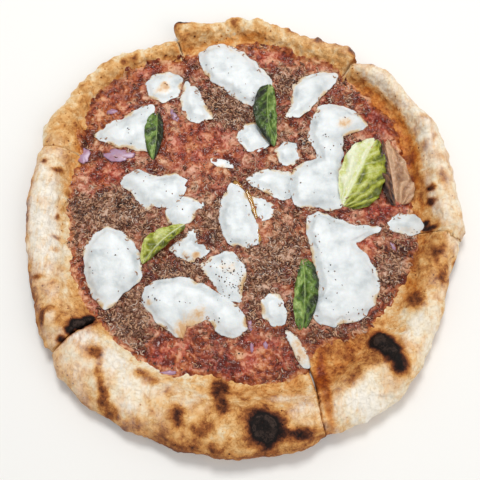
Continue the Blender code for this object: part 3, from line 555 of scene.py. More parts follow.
def bake_slice(number, rough_cuts):
    """One slice with the puffs, wrinkles, blisters, flour, browning and stains of its baking."""
    mesh = fine_skin(f"slice_{number}", 0.8 * MM, 10)
    spots = spots_of(mesh)
    x, y, z = spots.T.copy()
    bearing, reach, share, foot = rim_place(x, y)
    from_cut = close_up(spots, rough_cuts[number], tree_of([m for k, m in rough_cuts.items() if k != number]))
    on_rim = 1 - ease(share, 0.8, 1.1)
    free = ease(z, 0.2 * MM, 2.5 * MM)
    normal = normals_of(mesh)
    inside = 1 - ease(from_cut, 0.5 * MM, 1.4 * MM)
    at_back = np.exp(-((bearing - 95) / 45) ** 2)
    flank = np.exp(-(((bearing - 185 + 180) % 360 - 180) / 30) ** 2)
    lift = on_rim * free * (
        1.2 * soft_noise(spots, 24 * MM, 11) + 0.9 * soft_noise(spots, 10 * MM, 12) * (1 - 0.5 * flank)
        + (0.45 + 0.6 * at_back) * soft_noise(spots, 5.5 * MM, 13)
        + (0.3 + 0.3 * at_back) * (1 - 0.6 * flank) * (1 - 2 * np.abs(soft_noise(spots, 4.5 * MM, 14)))
        + 0.18 * soft_noise(spots, 2.4 * MM, 17)
    ) * (1 - 0.7 * inside)
    lift += 0.35 * (1 - on_rim) * free * soft_noise(spots, 12 * MM, 16)
    rng = np.random.default_rng(40 + number)
    crest = np.flatnonzero((share > -0.05) & (share < 0.85) & (z > 3 * MM) & (from_cut > 3 * MM))
    for centre in rng.choice(crest, 60):
        size = rng.uniform(1.6, 4.2) * MM
        away = ((spots - spots[centre]) ** 2).sum(axis=1) / size ** 2
        lift += rng.uniform(0.3, 1.0) * np.exp(-away * 1.5) * on_rim
    for bx, by, size, height in BLISTERS:
        away = ((x / MM - bx) ** 2 + (y / MM - by) ** 2) / size ** 2
        lift += height * np.exp(-away * 1.5) * ease(normal[:, 2], 0.0, 0.5)
    # the charred flap left of the front is cracked and ragged
    ragged = patches(x, y, ((-107, -79, 9, 7, 1), (42, -126, 5, 16, 0.6)))
    lift += ragged * free * (1.0 * soft_noise(spots, 4 * MM, 18) + 0.6 * soft_noise(spots, 2.2 * MM, 19))
    tips = np.zeros(len(x))
    for kx, ky, size, height, brown in KNOBS:
        away = ((x / MM - kx) ** 2 + (y / MM - ky) ** 2) / size ** 2 + ((z / MM - 14) / 9) ** 2
        lift += height * np.exp(-away) * free
        tips += brown * np.exp(-away * 1.3) * ease(z, 6 * MM, 12 * MM)
    # the front cut swings a little to the right where it leaves the sauce
    swing = 7.5 * np.exp(-((x / MM - 42) / 15) ** 2 - ((y / MM + 108) / 22) ** 2)
    spots += normal * (lift * MM)[:, None]
    spots[:, 0] += swing * MM
    # the corner at the rear leans out over its neighbour
    spots[:, 0] -= 4.5 * MM * np.exp(-((x / MM + 48) / 7) ** 2 - ((y / MM - 154) / 10) ** 2) * ease(z, 4 * MM, 12 * MM)
    wider = swollen(bearing, SPREADS) * (1 - ease(share, 0.0, 0.9)) / reach
    spots[:, :2] *= 1 + (wider * MM)[:, None]
    spots[:, 2] = np.maximum(spots[:, 2], np.minimum(z, 0.0))
    move_spots(mesh, spots)
    normal = normals_of(mesh)

    x, y, z = spots.T
    wander = 1.5 * MM * np.column_stack([soft_noise(spots, 7 * MM, 21), soft_noise(spots, 7 * MM, 22)])
    scorch = patches(x + wander[:, 0], y + wander[:, 1], SCORCHES, 1.4) * ease(z, 1 * MM, 4 * MM)
    brow = around(bearing, BROW)
    outer, inner = 1 - ease(share, 0.04, 0.28), ease(share, brow - 0.08, brow + 0.1)
    crest = 1 - outer - inner
    bakes, dustings, soaked = ([around(bearing, [(row[0], row[k]) for row in RIM]) for k in columns]
                               for columns in ((1, 2, 3), (4, 5, 6), (7,)))
    bake = bakes[0] * outer + bakes[1] * crest + bakes[2] * inner
    right_mottle = np.exp(-(((bearing - 20 + 180) % 360 - 180) / 45) ** 2)
    bake += (0.09 + 0.08 * right_mottle) * soft_noise(spots, 9 * MM, 23) * (1 - 0.3 * inner)
    bake += 0.08 * soft_noise(spots, 4 * MM, 24)
    bake += 0.2 * (1 - ease(normal[:, 2], -0.35, 0.4))
    under = ease(-normal[:, 2], 0.5, 0.9)
    leopard = ease(soft_noise(spots, 8 * MM, 27) + 0.4 * soft_noise(spots, 3 * MM, 28), 0.15, 0.5)
    bake = np.where(under > 0, bake * (1 - under) + under * (0.3 + 0.5 * leopard), bake)
    torn = patches(x, y, ((40, -113, 3.5, 6, 1), (43, -124, 3.5, 8, 1), (45, -136, 3.5, 7, 1), (-60, -104, 16, 3, 0.6)))
    groove = patches(x, y, ((49, -99, 3, 8, 0.8), (48, -110, 3.5, 7, 1), (49, -120, 3.5, 8, 1), (50, -132, 3, 8, 1),
                             (52, -144, 3, 6, 0.8)))
    crumb = 0.2 + 0.12 * ease(z, 3 * MM, 15 * MM) + 0.3 * (np.abs(bearing - 293) < 12)
    bake = bake * (1 - inside) + crumb * inside
    bake += scorch + tips - 0.14 * np.clip(torn, 0, 1) + 0.2 * np.clip(groove, 0, 1)
    flour = dustings[0] * outer + dustings[1] * crest + dustings[2] * inner
    flour = (flour + patches(x, y, DUSTINGS)) * ease(normal[:, 2], -0.3, 0.3)
    flour += 0.28 * soft_noise(spots, 9 * MM, 29) * (flour > 0.1)
    flour = np.clip(flour - 1.2 * scorch, 0, 1) * (1 - inside) * (1 - ease(share, 0.7, 0.8))
    stain = ease(share, 0.55, 0.95) * soaked[0] * ease(normal[:, 2], 0.1, 0.6)
    stain *= 0.7 + 0.45 * soft_noise(spots, 11 * MM, 30) + 0.5 * soft_noise(spots, 5 * MM, 31)
    stain += patches(x, y, ((4, 144, 9, 5, 0.5), (112, -52, 6, 8, 0.3))) * on_rim
    stain += 0.6 * np.clip(groove, 0, 1)
    set_amount(mesh, "bake", np.clip(bake, 0, 1.15))
    set_amount(mesh, "flour", flour)
    set_amount(mesh, "stain", np.clip(stain, 0, 1))
    set_amount(mesh, "dots", around(bearing, DOTTED) * on_rim * ease(z, 3 * MM, 6 * MM))
    return mesh


# --- sauce ---
# Where grated cheese lies thick, and where bare tomato shows: x, y, reaches, strength.
CRUMB_PATCHES = (
    (-11, 86, 21, 20, 0.7), (-91, 3, 26, 18, 0.75), (-76, -72, 16, 20, 0.75), (-43, -41, 20, 8, 0.6),
    (20, -21, 19, 20, 0.45), (11, -53, 13, 15, 0.45), (106, -41, 16, 21, 0.6), (32, 111, 13, 12, 0.6),
    (47, 59, 9, 10, 0.4), (67, -80, 24, 10, 0.3), (-21, -5, 10, 15, 0.6), (3, -74, 8, 7, 0.4),
    (-118, 1, 6, 22, 0.5), (96, 108, 14, 8, 0.2), (40, 138, 12, 8, 0.45), (24, -34, 12, 10, 0.3),
)
TOMATO_PATCHES = (
    (-33, 55, 26, 19, 0.7), (-98, 86, 18, 18, 0.55), (-103, 31, 17, 12, 0.5), (-49, -97, 16, 14, 0.8),
    (6, -100, 19, 17, 0.6), (93, 6, 17, 6, 0.7), (80, -24, 10, 9, 0.6), (34, 132, 33, 11, 0.6),
    (105, 80, 13, 23, 0.7), (12, -8, 10, 10, 0.6), (-72, 123, 23, 12, 0.6),
)
AMBER_PATCHES = (
    (4, 18, 10, 14, 0.6), (-22, 38, 14, 6, 0.6), (4, 143, 14, 8, 0.9), (22, 142, 12, 7, 0.6), (116, 62, 8, 26, 0.7),
    (-128, 45, 8, 30, 0.7), (-4, 8, 8, 12, 0.4), (25, -112, 16, 6, 0.7), (66, -92, 20, 7, 0.5), (40, 120, 20, 8, 0.5),
    (-90, 108, 20, 8, 0.5), (-106, 66, 10, 18, 0.9), (-98, 86, 11, 10, 0.6),
    (-40, 120, 18, 12, 0.5), (-46, 84, 6, 14, 0.5),
)
# Darker places in the sauce, added to the painted shade: x, y, reaches (millimetres), strength.
DEEP_PATCHES = ((105, 84, 13, 16, 0.7), (25, -110, 14, 5, 0.35), (120, -26, 8, 14, 0.4), (-47, 112, 6, 8, 0.5))
# How far the sauce runs up the rim past its foot, by bearing, in millimetres.
CLIMB = ((0, 0), (20, -5), (40, -4), (58, 1), (68, 4), (78, 6), (87, 0), (95, -5), (105, -4), (113, 2), (125, 2),
         (140, 2), (152, 3), (160, 5), (170, 3), (200, 3), (213, 3), (218, 7), (224, 6), (232, 4), (246, 6), (256, 1), (266, -1), (285, 1), (290.5, 0), (292.5, -10), (298, -14),
         (302, -10), (307, -7), (315, -4), (325, -3), (335, 0), (348, 2))
CELL = 0.65 * MM
DOWN = Vector((0, 0, -1))


def level_field(x, y):
    """Points (x, y, 0), on which the noises of flat things are read."""
    return np.column_stack([x, y, np.zeros(len(x))])


def sauce_reach(x, y):
    """How far inside the ragged edge of the sauce each place is."""
    bearing, reach, share, foot = rim_place(x, y)
    at = level_field(x, y)
    edge = foot + MM * (around(bearing, CLIMB) + 2.8 * soft_noise(at, 17 * MM, 61)
                        + 1.8 * soft_noise(at, 6 * MM, 62) + 1.0 * soft_noise(at, 2.6 * MM, 63))
    return edge - reach


def crumb_share(x, y):
    """How much of the sauce is covered by grated cheese, 0 to 1."""
    at = level_field(x, y)
    cover = 0.45 + patches(x, y, CRUMB_PATCHES) - patches(x, y, TOMATO_PATCHES)
    return np.clip(cover + 0.3 * soft_noise(at, 8 * MM, 51) + 0.25 * soft_noise(at, 3.4 * MM, 52), 0, 1)


def spread_over_gaps(field, wanted, rounds):
    """Fills the empty places of a grid from their neighbours, round by round."""
    shifts = [(i, j) for i in (-1, 0, 1) for j in (-1, 0, 1) if i or j]
    for _ in range(rounds):
        known = ~np.isnan(field)
        values = np.where(known, field, 0.0)
        total = sum(np.roll(values, shift, (0, 1)) for shift in shifts)
        count = sum(np.roll(known, shift, (0, 1)).astype(float) for shift in shifts)
        fill = ~known & wanted & (count > 0)
        field = np.where(fill, total / np.maximum(count, 1), field)
    return field


def lay_sauce(slice_meshes):
    """The sauce over all slices as a grid: places, top heights, and the slice that each place belongs to."""
    tree = tree_of(slice_meshes)
    ends = np.cumsum([len(mesh.polygons) for mesh in slice_meshes])
    across = np.arange(-135 * MM, 136 * MM, CELL)
    away = np.arange(-135 * MM, 158 * MM, CELL)
    x, y = (axis.ravel() for axis in np.meshgrid(across, away, indexing="ij"))
    shape = (len(across), len(away))
    inward = sauce_reach(x, y)
    share = rim_place(x, y)[2]
    wanted = inward > -2.5 * MM
    height, owner = np.full(len(x), np.nan), np.full(len(x), np.nan)
    for k in np.flatnonzero(wanted):
        spot, normal, face, _ = tree.ray_cast(Vector((x[k], y[k], 0.06)), DOWN)
        if spot is not None and spot.z > BASE_TOP - 0.8 * MM and normal.z > (0.3 if share[k] < 1 else 0.92):
            height[k] = spot.z
            owner[k] = np.searchsorted(ends, face, side="right")
    wanted = wanted.reshape(shape)
    gap = (np.isnan(height).reshape(shape) & wanted).astype(float)
    for _ in range(2):
        gap = sum(np.roll(gap, (i, j), (0, 1)) for i in (-1, 0, 1) for j in (-1, 0, 1)) / 9
    height = spread_over_gaps(height.reshape(shape), wanted, 9)
    owner = owner.reshape(shape)
    for _ in range(9):
        beside = np.fmax.reduce([np.roll(owner, (i, j), (0, 1)) for i in (-1, 0, 1) for j in (-1, 0, 1)])
        owner = np.where(np.isnan(owner) & wanted, beside, owner)
    at = level_field(x, y)
    crumb = crumb_share(x, y)
    depth = 0.95 + 0.5 * soft_noise(at, 12 * MM, 64) + 0.5 * soft_noise(at, 5 * MM, 65)
    depth += 0.35 * soft_noise(at, 2.8 * MM, 66) + 0.2 * crumb * soft_noise(at, 1.9 * MM, 68)
    depth = np.maximum(depth, 0.2) * ease(inward, -1.0 * MM, 3.5 * MM) - 0.9 * (1 - ease(inward, -2.0 * MM, 1 * MM))
    top = height + (depth.reshape(shape) - 0.6 * gap) * MM
    return dict(x=x, y=y, top=top, owner=owner, inward=inward, crumb=crumb, gap=gap.ravel(), shape=shape)


def sauce_sheet(field, number, amounts):
    """The part of the sauce that one slice carries, as a closed skin with its amounts for the finish."""
    rows, columns = field["shape"]
    index = np.arange(rows * columns).reshape(rows, columns)
    known = ~np.isnan(field["top"])
    whole = known[:-1, :-1] & known[1:, :-1] & known[1:, 1:] & known[:-1, 1:]
    whole &= np.round(field["owner"][:-1, :-1]) == number
    corners = [index[:-1, :-1][whole], index[1:, :-1][whole], index[1:, 1:][whole], index[:-1, 1:][whole]]
    quads = np.stack(corners, axis=-1)
    used, quads = np.unique(quads, return_inverse=True)
    quads = quads.reshape(-1, 4)
    top = np.column_stack([field["x"][used], field["y"][used], field["top"].ravel()[used]])
    count = len(top)
    ends = np.concatenate([quads[:, [k, (k + 1) % 4]] for k in range(4)])
    key = np.sort(ends, axis=1)
    key = key[:, 0] * count + key[:, 1]
    _, first, times = np.unique(key, return_index=True, return_counts=True)
    rim = ends[first[times == 1]]
    sides = np.column_stack([rim[:, 1], rim[:, 0], rim[:, 0] + count, rim[:, 1] + count])
    mesh = mesh_from(f"tomato_sauce_{number + 1}", np.concatenate([top, top - [0, 0, 0.9 * MM]]),
                     np.concatenate([quads, quads[:, ::-1] + count, sides]))
    for name, values in amounts.items():
        set_amount(mesh, name, np.tile(values[used], 2))
    return mesh, (top, quads, used)


# --- mozzarella ---
# Toasted or blistered marks: x, y, reaches (millimetres), strength.
TOASTS = (
    (-59.6, 103.7, 5, 5, 0.62), (-66, 98, 6, 4, 0.2), (-57, 113, 7, 3, 0.25), (-38, -76, 9, 9, 0.85),
    (-29, -66, 6, 4, 0.3), (-34, -84, 5, 4, 0.2), (-34, -30, 3.5, 3, 0.5), (72, 72, 7, 5, 0.5),
    (62, 58, 5, 4, 0.2), (-19, 38, 9, 3, 0.45), (-16, 27, 3, 3, 0.2), (-99, 64, 5, 4, 0.2), (33, -92, 8, 12, 0.42),
    (109, -10, 8, 3, 0.3), (22, 22, 5, 3, 0.16), (-10, 135, 4, 3, 0.3), (-64, -62, 3, 4, 0.45),
    (-82, 26, 3, 2, 0.2), (-13, -37, 7, 6, 0.32), (-88, 53, 10, 3, 0.2), (-30, 82, 4, 10, 0.2),
    (-41, -28, 3, 3, 0.45),
)
# Where crumbs and specks lie thick on the mozzarella: x, y, reaches, strength.
STREWN = ((-11, -40, 8, 10, 6.0), (23, -62, 7, 7, 0.8), (-82, 18, 5, 4, 0.8), (-62, -58, 6, 5, 1.0),
          (72, 78, 6, 5, 1.0), (112, -12, 6, 4, 0.8), (-96, 60, 5, 4, 0.6))
# Where a piece ran further: piece, x, y, reach, then how far across and away (millimetres).
RUNS = (
    ("tongue", 30, 29, 9, 2.2, 0), ("right_upper", 36, 29, 9, -2.2, 0), ("front", -38, -74, 10, 0, -11),
    ("left_thin", -46, 9, 8, -1, 3.5), ("left", -50, 13, 8, 1.5, -3.5),
    ("tongue", 24, 17, 9, 0, -4), ("right_upper", 38, 12, 9, -3, -4), ("right", 76, -22, 8, -4, 1),
    ("strip", 38, -98, 8, 2, -5), ("far_right", 103, -8, 8, -5, 0), ("far_right", 118, -10, 8, 4, 0),
    ("far_right", 110, -19, 7, 0, -3), ("peppered", -4, -40, 9, 3, 0), ("peppered", -12, -52, 8, 0, -5),
    ("peppered", -2, -50, 8, 1, -6), ("far_right", 112, -10, 14, 5.5, 0), ("rear_right", 60, 104, 16, 1, 5),
)


def evened(mesh, heights, share, rounds):
    """Heights evened out between neighbouring places, as far as each place's share lets them."""
    ends = np.empty(len(mesh.edges) * 2, np.int32)
    mesh.edges.foreach_get("vertices", ends)
    a, b = ends.reshape(-1, 2).T
    size = len(heights)
    count = np.bincount(a, minlength=size) + np.bincount(b, minlength=size)
    for _ in range(rounds):
        total = np.bincount(a, heights[b], size) + np.bincount(b, heights[a], size)
        heights = heights + share * (total / count - heights)
    return heights


def melt_cheese(name):
    """A piece of mozzarella with the wavy edge, dimples and soft lumps that it melts into."""
    mesh = fine_skin(name, 0.7 * MM, 8)
    spots, normal = spots_of(mesh), normals_of(mesh)
    x, y, z = spots.T.copy()
    z = evened(mesh, z, 0.9 * ease(normal[:, 2], 0.25, 0.6), 110)
    low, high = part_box(name)
    at = level_field(x, y)
    wall = np.flatnonzero((np.abs(normal[:, 2]) < 0.35))
    around_it = KDTree(len(wall))
    for k in wall:
        around_it.insert(Vector((x[k], y[k], 0)), int(k))
    around_it.balance()
    inset = np.array([around_it.find(Vector(p))[2] for p in at])
    rise = (z - low.z) / (high.z - low.z)
    full = 0.4 + 0.6 * ease(inset, -0.5 * MM, 5 * MM)
    lumps = 0.45 * soft_noise(at, 16 * MM, 75) + 0.2 * soft_noise(at, 6 * MM, 76) + 0.08 * soft_noise(at, 3 * MM, 77)
    for axis, seed in ((0, 71), (1, 81)):
        spots[:, axis] += MM * (0.9 * normal[:, axis] * (1 - ease(inset, 0.5 * MM, 3 * MM))
                                + 1.6 * soft_noise(at, 14 * MM, seed) + 1.1 * soft_noise(at, 6 * MM, seed + 1)
                                + 0.3 * soft_noise(at, 3 * MM, seed + 2))
    for piece, px, py, reach, across, away in RUNS:
        if name == "mozzarella_" + piece:
            pull = np.exp(-((x / MM - px) ** 2 + (y / MM - py) ** 2) / reach ** 2)
            spots[:, 0] += across * pull * MM
            spots[:, 1] += away * pull * MM
    spots[:, 2] = low.z + 0.4 * MM + rise * ((high.z - low.z) * full * 1.15 + MM * lumps * full)
    move_spots(mesh, spots)
    normal = normals_of(mesh)
    thin = ease(soft_noise(at, 10 * MM, 78), -0.3, 0.6)
    cream = (1 - ease(inset, 0.0, (1.0 + 2.6 * thin) * MM)) * (0.18 + 0.7 * thin)
    toast = patches(x, y, TOASTS) * (0.9 + 0.35 * soft_noise(at, 3 * MM, 79))
    up = ease(normal[:, 2], 0.3, 0.7)
    set_amount(mesh, "cream", np.clip(cream, 0, 1))
    set_amount(mesh, "toast", np.clip(toast, 0, 1))
    set_amount(mesh, "fringe", up * (1 - ease(inset, 0.6 * MM, 3.5 * MM)) * ease(soft_noise(at, 7 * MM, 95), -0.2, 0.5))
    set_amount(mesh, "strewn", up * (0.08 + ease(soft_noise(at, 11 * MM, 96), 0.1, 0.6) + np.clip(
        patches(x, y, STREWN), 0, 4.5)))
    return mesh


# --- basil ---
# name, stem end, tip, (width and widest place of the half on the right of the way to the tip), the same
# for the left half, arch, folds of both halves (degrees), sideways bend, crumple, pleats, tones of both halves.
LEAVES = (
    ("left", (-65, 83), (-66, 44), (9.0, 0.42), (6.5, 0.45), 3.0, (14, 42), 1.5, 1.1, 0, (0.5, 0.0)),
    ("rear", (18, 106), (21, 54), (11.0, 0.42), (7.5, 0.45), 3.5, (20, 34), -3.0, 1.0, 0, (0.3, 0.6)),
    ("right", (68, 8), (95, 61), (20.0, 0.35), (14.0, 0.55), 3.5, (10, 14), 0.0, 0.9, 6, (0.34, 0.88)),
    ("browned", (106, 8), (101, 62), (14.0, 0.25), (9.0, 0.3), 2.5, (12, 30), 0.0, 1.4, 5, (0.78, 0.25)),
    ("middle", (-42, -6), (-70, -35), (9.5, 0.6), (5.5, 0.4), 3.5, (20, 30), -1.5, 2.4, 0, (0.4, 0.2)),
    ("front", (39, -30), (37, -82), (8.0, 0.6), (9.5, 0.38), 3.5, (22, 18), 1.5, 1.9, 0, (0.62, 0.5)),
)
BLADE_ROWS, BLADE_COLUMNS = 84, 48


def grow_leaf(leaf, rest):
    """A basil blade: folded along the midrib, crumpled between its veins, with a curled wavy edge."""
    name, stem, tip, right, left, arch, folds, bend, crumple, pleats, tones = leaf
    share, side = np.meshgrid(np.linspace(0, 1, BLADE_ROWS + 1), np.linspace(-1, 1, BLADE_COLUMNS + 1),
                              indexing="ij")
    seed = sum(ord(letter) for letter in name)
    start, end = np.array(stem, float), np.array(tip, float)
    way = end - start
    length = np.hypot(*way)
    across = np.array([-way[1], way[0]]) / length
    leftward = side > 0
    off = np.abs(side)
    width = np.where(leftward, left[0], right[0])
    peak = np.where(leftward, left[1], right[1])
    taper = np.sin(np.pi * np.clip(share, 0, 1) ** (math.log(0.5) / np.log(peak))).clip(0, 1) ** 0.62
    flat = np.column_stack([share.ravel() * length, (side * width).ravel(), np.full(share.size, seed)]) * MM

    def lumps(grain, more):
        return soft_noise(flat, grain * MM, seed + more).reshape(share.shape)

    half = (width * taper + 0.15) * (1 + 0.09 * lumps(8, 0) + 0.05 * lumps(3, 1))
    out = half * off
    lean = np.radians(np.where(leftward, folds[1], folds[0]))
    height = out * np.sin(lean) * (1 - 0.25 * off)
    outward = side * half * np.cos(lean)
    puff = taper * ease(off, 0.0, 0.15) * (1 - off ** 4)
    slant = share * 7 - off * 1.4
    furrow = np.clip(np.cos(2 * np.pi * slant), 0, 1) ** 5
    height += puff * (0.5 - 0.45 * furrow) * min(1.0, width.min() / 7)
    height += crumple * taper * (0.9 * lumps(7, 2) + 0.7 * lumps(3.4, 3) + 0.3 * lumps(1.8, 4)) * ease(off, 0, 0.2)
    if pleats:
        fan = np.arctan2(side * half, share * length + 4)
        fold = np.cos(fan * 2 * np.pi * pleats / 1.6 + 2.4 * lumps(11, 5) + 1.2 * lumps(5, 8))
        height += 0.9 * fold * ease(out, 0.5, 4)
    height -= 1.6 * ease(off, 0.75, 1.0) * taper * (0.6 + 0.7 * lumps(10, 6))
    height += arch * np.sin(np.pi * share)
    sway = bend * np.sin(np.pi * share)
    plan = start + share[..., None] * way + across * (outward + sway)[..., None]
    low = np.percentile(height[3:-3], 2)
    top = np.column_stack([plan.reshape(-1, 2), height.ravel() - low]) * MM + [0, 0, rest]
    count = top.shape[0]
    under = top - np.array([0, 0, 0.35 * MM])
    index = np.arange(count).reshape(share.shape)
    quads = np.stack([index[:-1, :-1], index[1:, :-1], index[1:, 1:], index[:-1, 1:]], axis=-1).reshape(-1, 4)
    ring = np.concatenate([index[:, 0], index[-1, 1:], index[-2::-1, -1], index[0, -2:0:-1]])
    after = np.roll(ring, -1)
    sides = np.stack([ring, after, after + count, ring + count], axis=-1)
    mesh = mesh_from(f"basil_{name}", np.concatenate([top, under]),
                     np.concatenate([quads[:, ::-1], quads + count, sides[:, ::-1]]))
    form = bmesh.new()
    form.from_mesh(mesh)
    bmesh.ops.recalc_face_normals(form, faces=form.faces)
    form.to_mesh(mesh)
    form.free()
    rib = np.exp(-(out / 0.5) ** 2) * (1 - 0.6 * share)
    vein = np.clip(0.8 * rib + 0.35 * furrow * (1 - off) * ease(off, 0.02, 0.1), 0, 1)
    # painted shade and light: the hollows of the crumples and pleats darker, their ridges lighter
    painted_fold_shading = ease(lumps(7, 2) * 0.9 + lumps(3.4, 3) * 0.7, -0.7, 0.5)
    if pleats:
        painted_fold_shading = 0.4 * painted_fold_shading + 0.6 * ease(fold, -0.9, 0.6)
    tone = np.where(leftward, tones[1], tones[0])
    # the painted fold shading is added to the tone here
    tone = tone - 0.35 * off ** 2 * (tone == min(tones)) + 0.5 * (painted_fold_shading - 0.5) + 0.12 * lumps(12, 7)
    set_amount(mesh, "vein", np.tile(vein.ravel(), 2))
    set_amount(mesh, "tone", np.tile(np.clip(tone, 0, 1).ravel(), 2))
    return mesh


# --- oil ---
# Standing pools of oil: x, y, reaches (millimetres), turn (degrees), then "sheen" or "gold"; the "sheen" pools carry a
# painted lilac reflection of the room in their colour.
POOLS = (
    (-116, 46, 5, 6, 0, "sheen"), (-91, 47, 10.5, 4.8, -3, "sheen"), (-50, -109, 6, 1.8, 8, "sheen"),
    (101, -22, 1.2, 3.5, 20, "sheen"), (3, -78, 1.4, 4, 5, "sheen"), (4, -92, 1.2, 3, 0, "sheen"),
    (13, -91, 1.4, 3, 10, "sheen"), (-52, 80, 2.2, 6, 25, "sheen"), (-98, 83, 4, 2, 15, "sheen"),
    (5, 8, 1.8, 14, 18, "gold"), (-5, 24, 5, 2, -40, "gold"), (9, -14, 1.6, 7, 8, "gold"),
)


def pour_pool(number, pool, field_tree):
    """A low dome of oil with a wandering rim, let down into the sauce it stands in."""
    px, py, across, away, turn, _ = pool
    turn = math.radians(turn)
    rings, spokes = 7, 48
    level = []
    for k in range(spokes):
        angle = math.tau * k / spokes
        spot = Vector((px + 0.6 * across * math.cos(angle), py + 0.6 * away * math.sin(angle), 60)) * MM
        hit = field_tree.ray_cast(spot, DOWN)[0]
        level += [hit.z] if hit is not None else []
    level = float(np.percentile(level, 62)) + 0.1 * MM
    angles = np.arange(spokes) * math.tau / spokes
    ring_at = np.column_stack([np.cos(angles) * 3 * MM, np.sin(angles) * 3 * MM, np.full(spokes, number * 10 * MM)])
    wander = 1 + 0.35 * soft_noise(ring_at, 1.6 * MM, 90)
    spots, faces = [], []
    for side in (1, -1):
        for ring in range(rings if side > 0 else rings - 1):
            out = (rings - ring) / rings if side > 0 else (rings - 1 - ring) / rings
            lift = 0.45 * (1 - out ** 2) * side if side > 0 else -0.5 * (1 - out ** 2)
            for k, angle in enumerate(angles):
                dx, dy = across * out * wander[k] * math.cos(angle), away * out * wander[k] * math.sin(angle)
                spots.append(((px + dx * math.cos(turn) - dy * math.sin(turn)) * MM,
                              (py + dx * math.sin(turn) + dy * math.cos(turn)) * MM, level + lift * MM))
    low_start = rings * spokes
    for k in range(spokes):
        j = (k + 1) % spokes
        for ring in range(rings - 1):
            faces.append((ring * spokes + k, ring * spokes + j, (ring + 1) * spokes + j, (ring + 1) * spokes + k))
        faces.append((j, k, low_start + k, low_start + j))
        for ring in range(rings - 2):
            base = low_start + ring * spokes
            faces.append((base + j, base + k, base + spokes + k, base + spokes + j))
    faces.append(tuple((rings - 1) * spokes + k for k in range(spokes)))
    faces.append(tuple(low_start + (rings - 2) * spokes + k for k in reversed(range(spokes))))
    return mesh_from("pool", spots, faces)


# --- small things that are scattered ---
def curl_of_cheese(turn_mm, thick_mm, arc, steps):
    """A grated thread: a thin three-sided rope bent along part of a circle, rising a little."""
    rows = []
    for k in range(steps + 1):
        t = k / steps
        angle = arc * (t - 0.5)
        centre = Vector((turn_mm * math.sin(angle), turn_mm * (1 - math.cos(angle)), 0.35 * math.sin(3.0 * t)))
        out = Vector((math.sin(angle), -math.cos(angle), 0))
        size = 0.5 * thick_mm * (0.55 + 0.9 * math.sin(math.pi * (0.12 + 0.76 * t)))
        rows.append([(centre + out * size * math.cos(a) + Vector((0, 0, size * math.sin(a) + 0.3 * thick_mm))) * MM
                     for a in (math.pi / 2, math.pi * 7 / 6, math.pi * 11 / 6)])
    spots = [p for row in rows for p in row]
    faces = [(k * 3 + j, k * 3 + (j + 1) % 3, k * 3 + 3 + (j + 1) % 3, k * 3 + 3 + j)
             for k in range(steps) for j in range(3)]
    faces += [(2, 1, 0), (steps * 3, steps * 3 + 1, steps * 3 + 2)]
    mesh = mesh_from("curl", spots, faces)
    form = bmesh.new()
    form.from_mesh(mesh)
    bmesh.ops.recalc_face_normals(form, faces=form.faces)
    form.to_mesh(mesh)
    form.free()
    return mesh


def chip(size_mm, seed):
    """A small broken flake."""
    form = bmesh.new()
    bmesh.ops.create_icosphere(form, subdivisions=1, radius=0.5 * size_mm * MM)
    rng = np.random.default_rng(seed)
    for v in form.verts:
        v.co *= rng.uniform(0.6, 1.2)
        v.co.z *= 0.5
    mesh = bpy.data.meshes.new("chip")
    form.to_mesh(mesh)
    form.free()
    return mesh


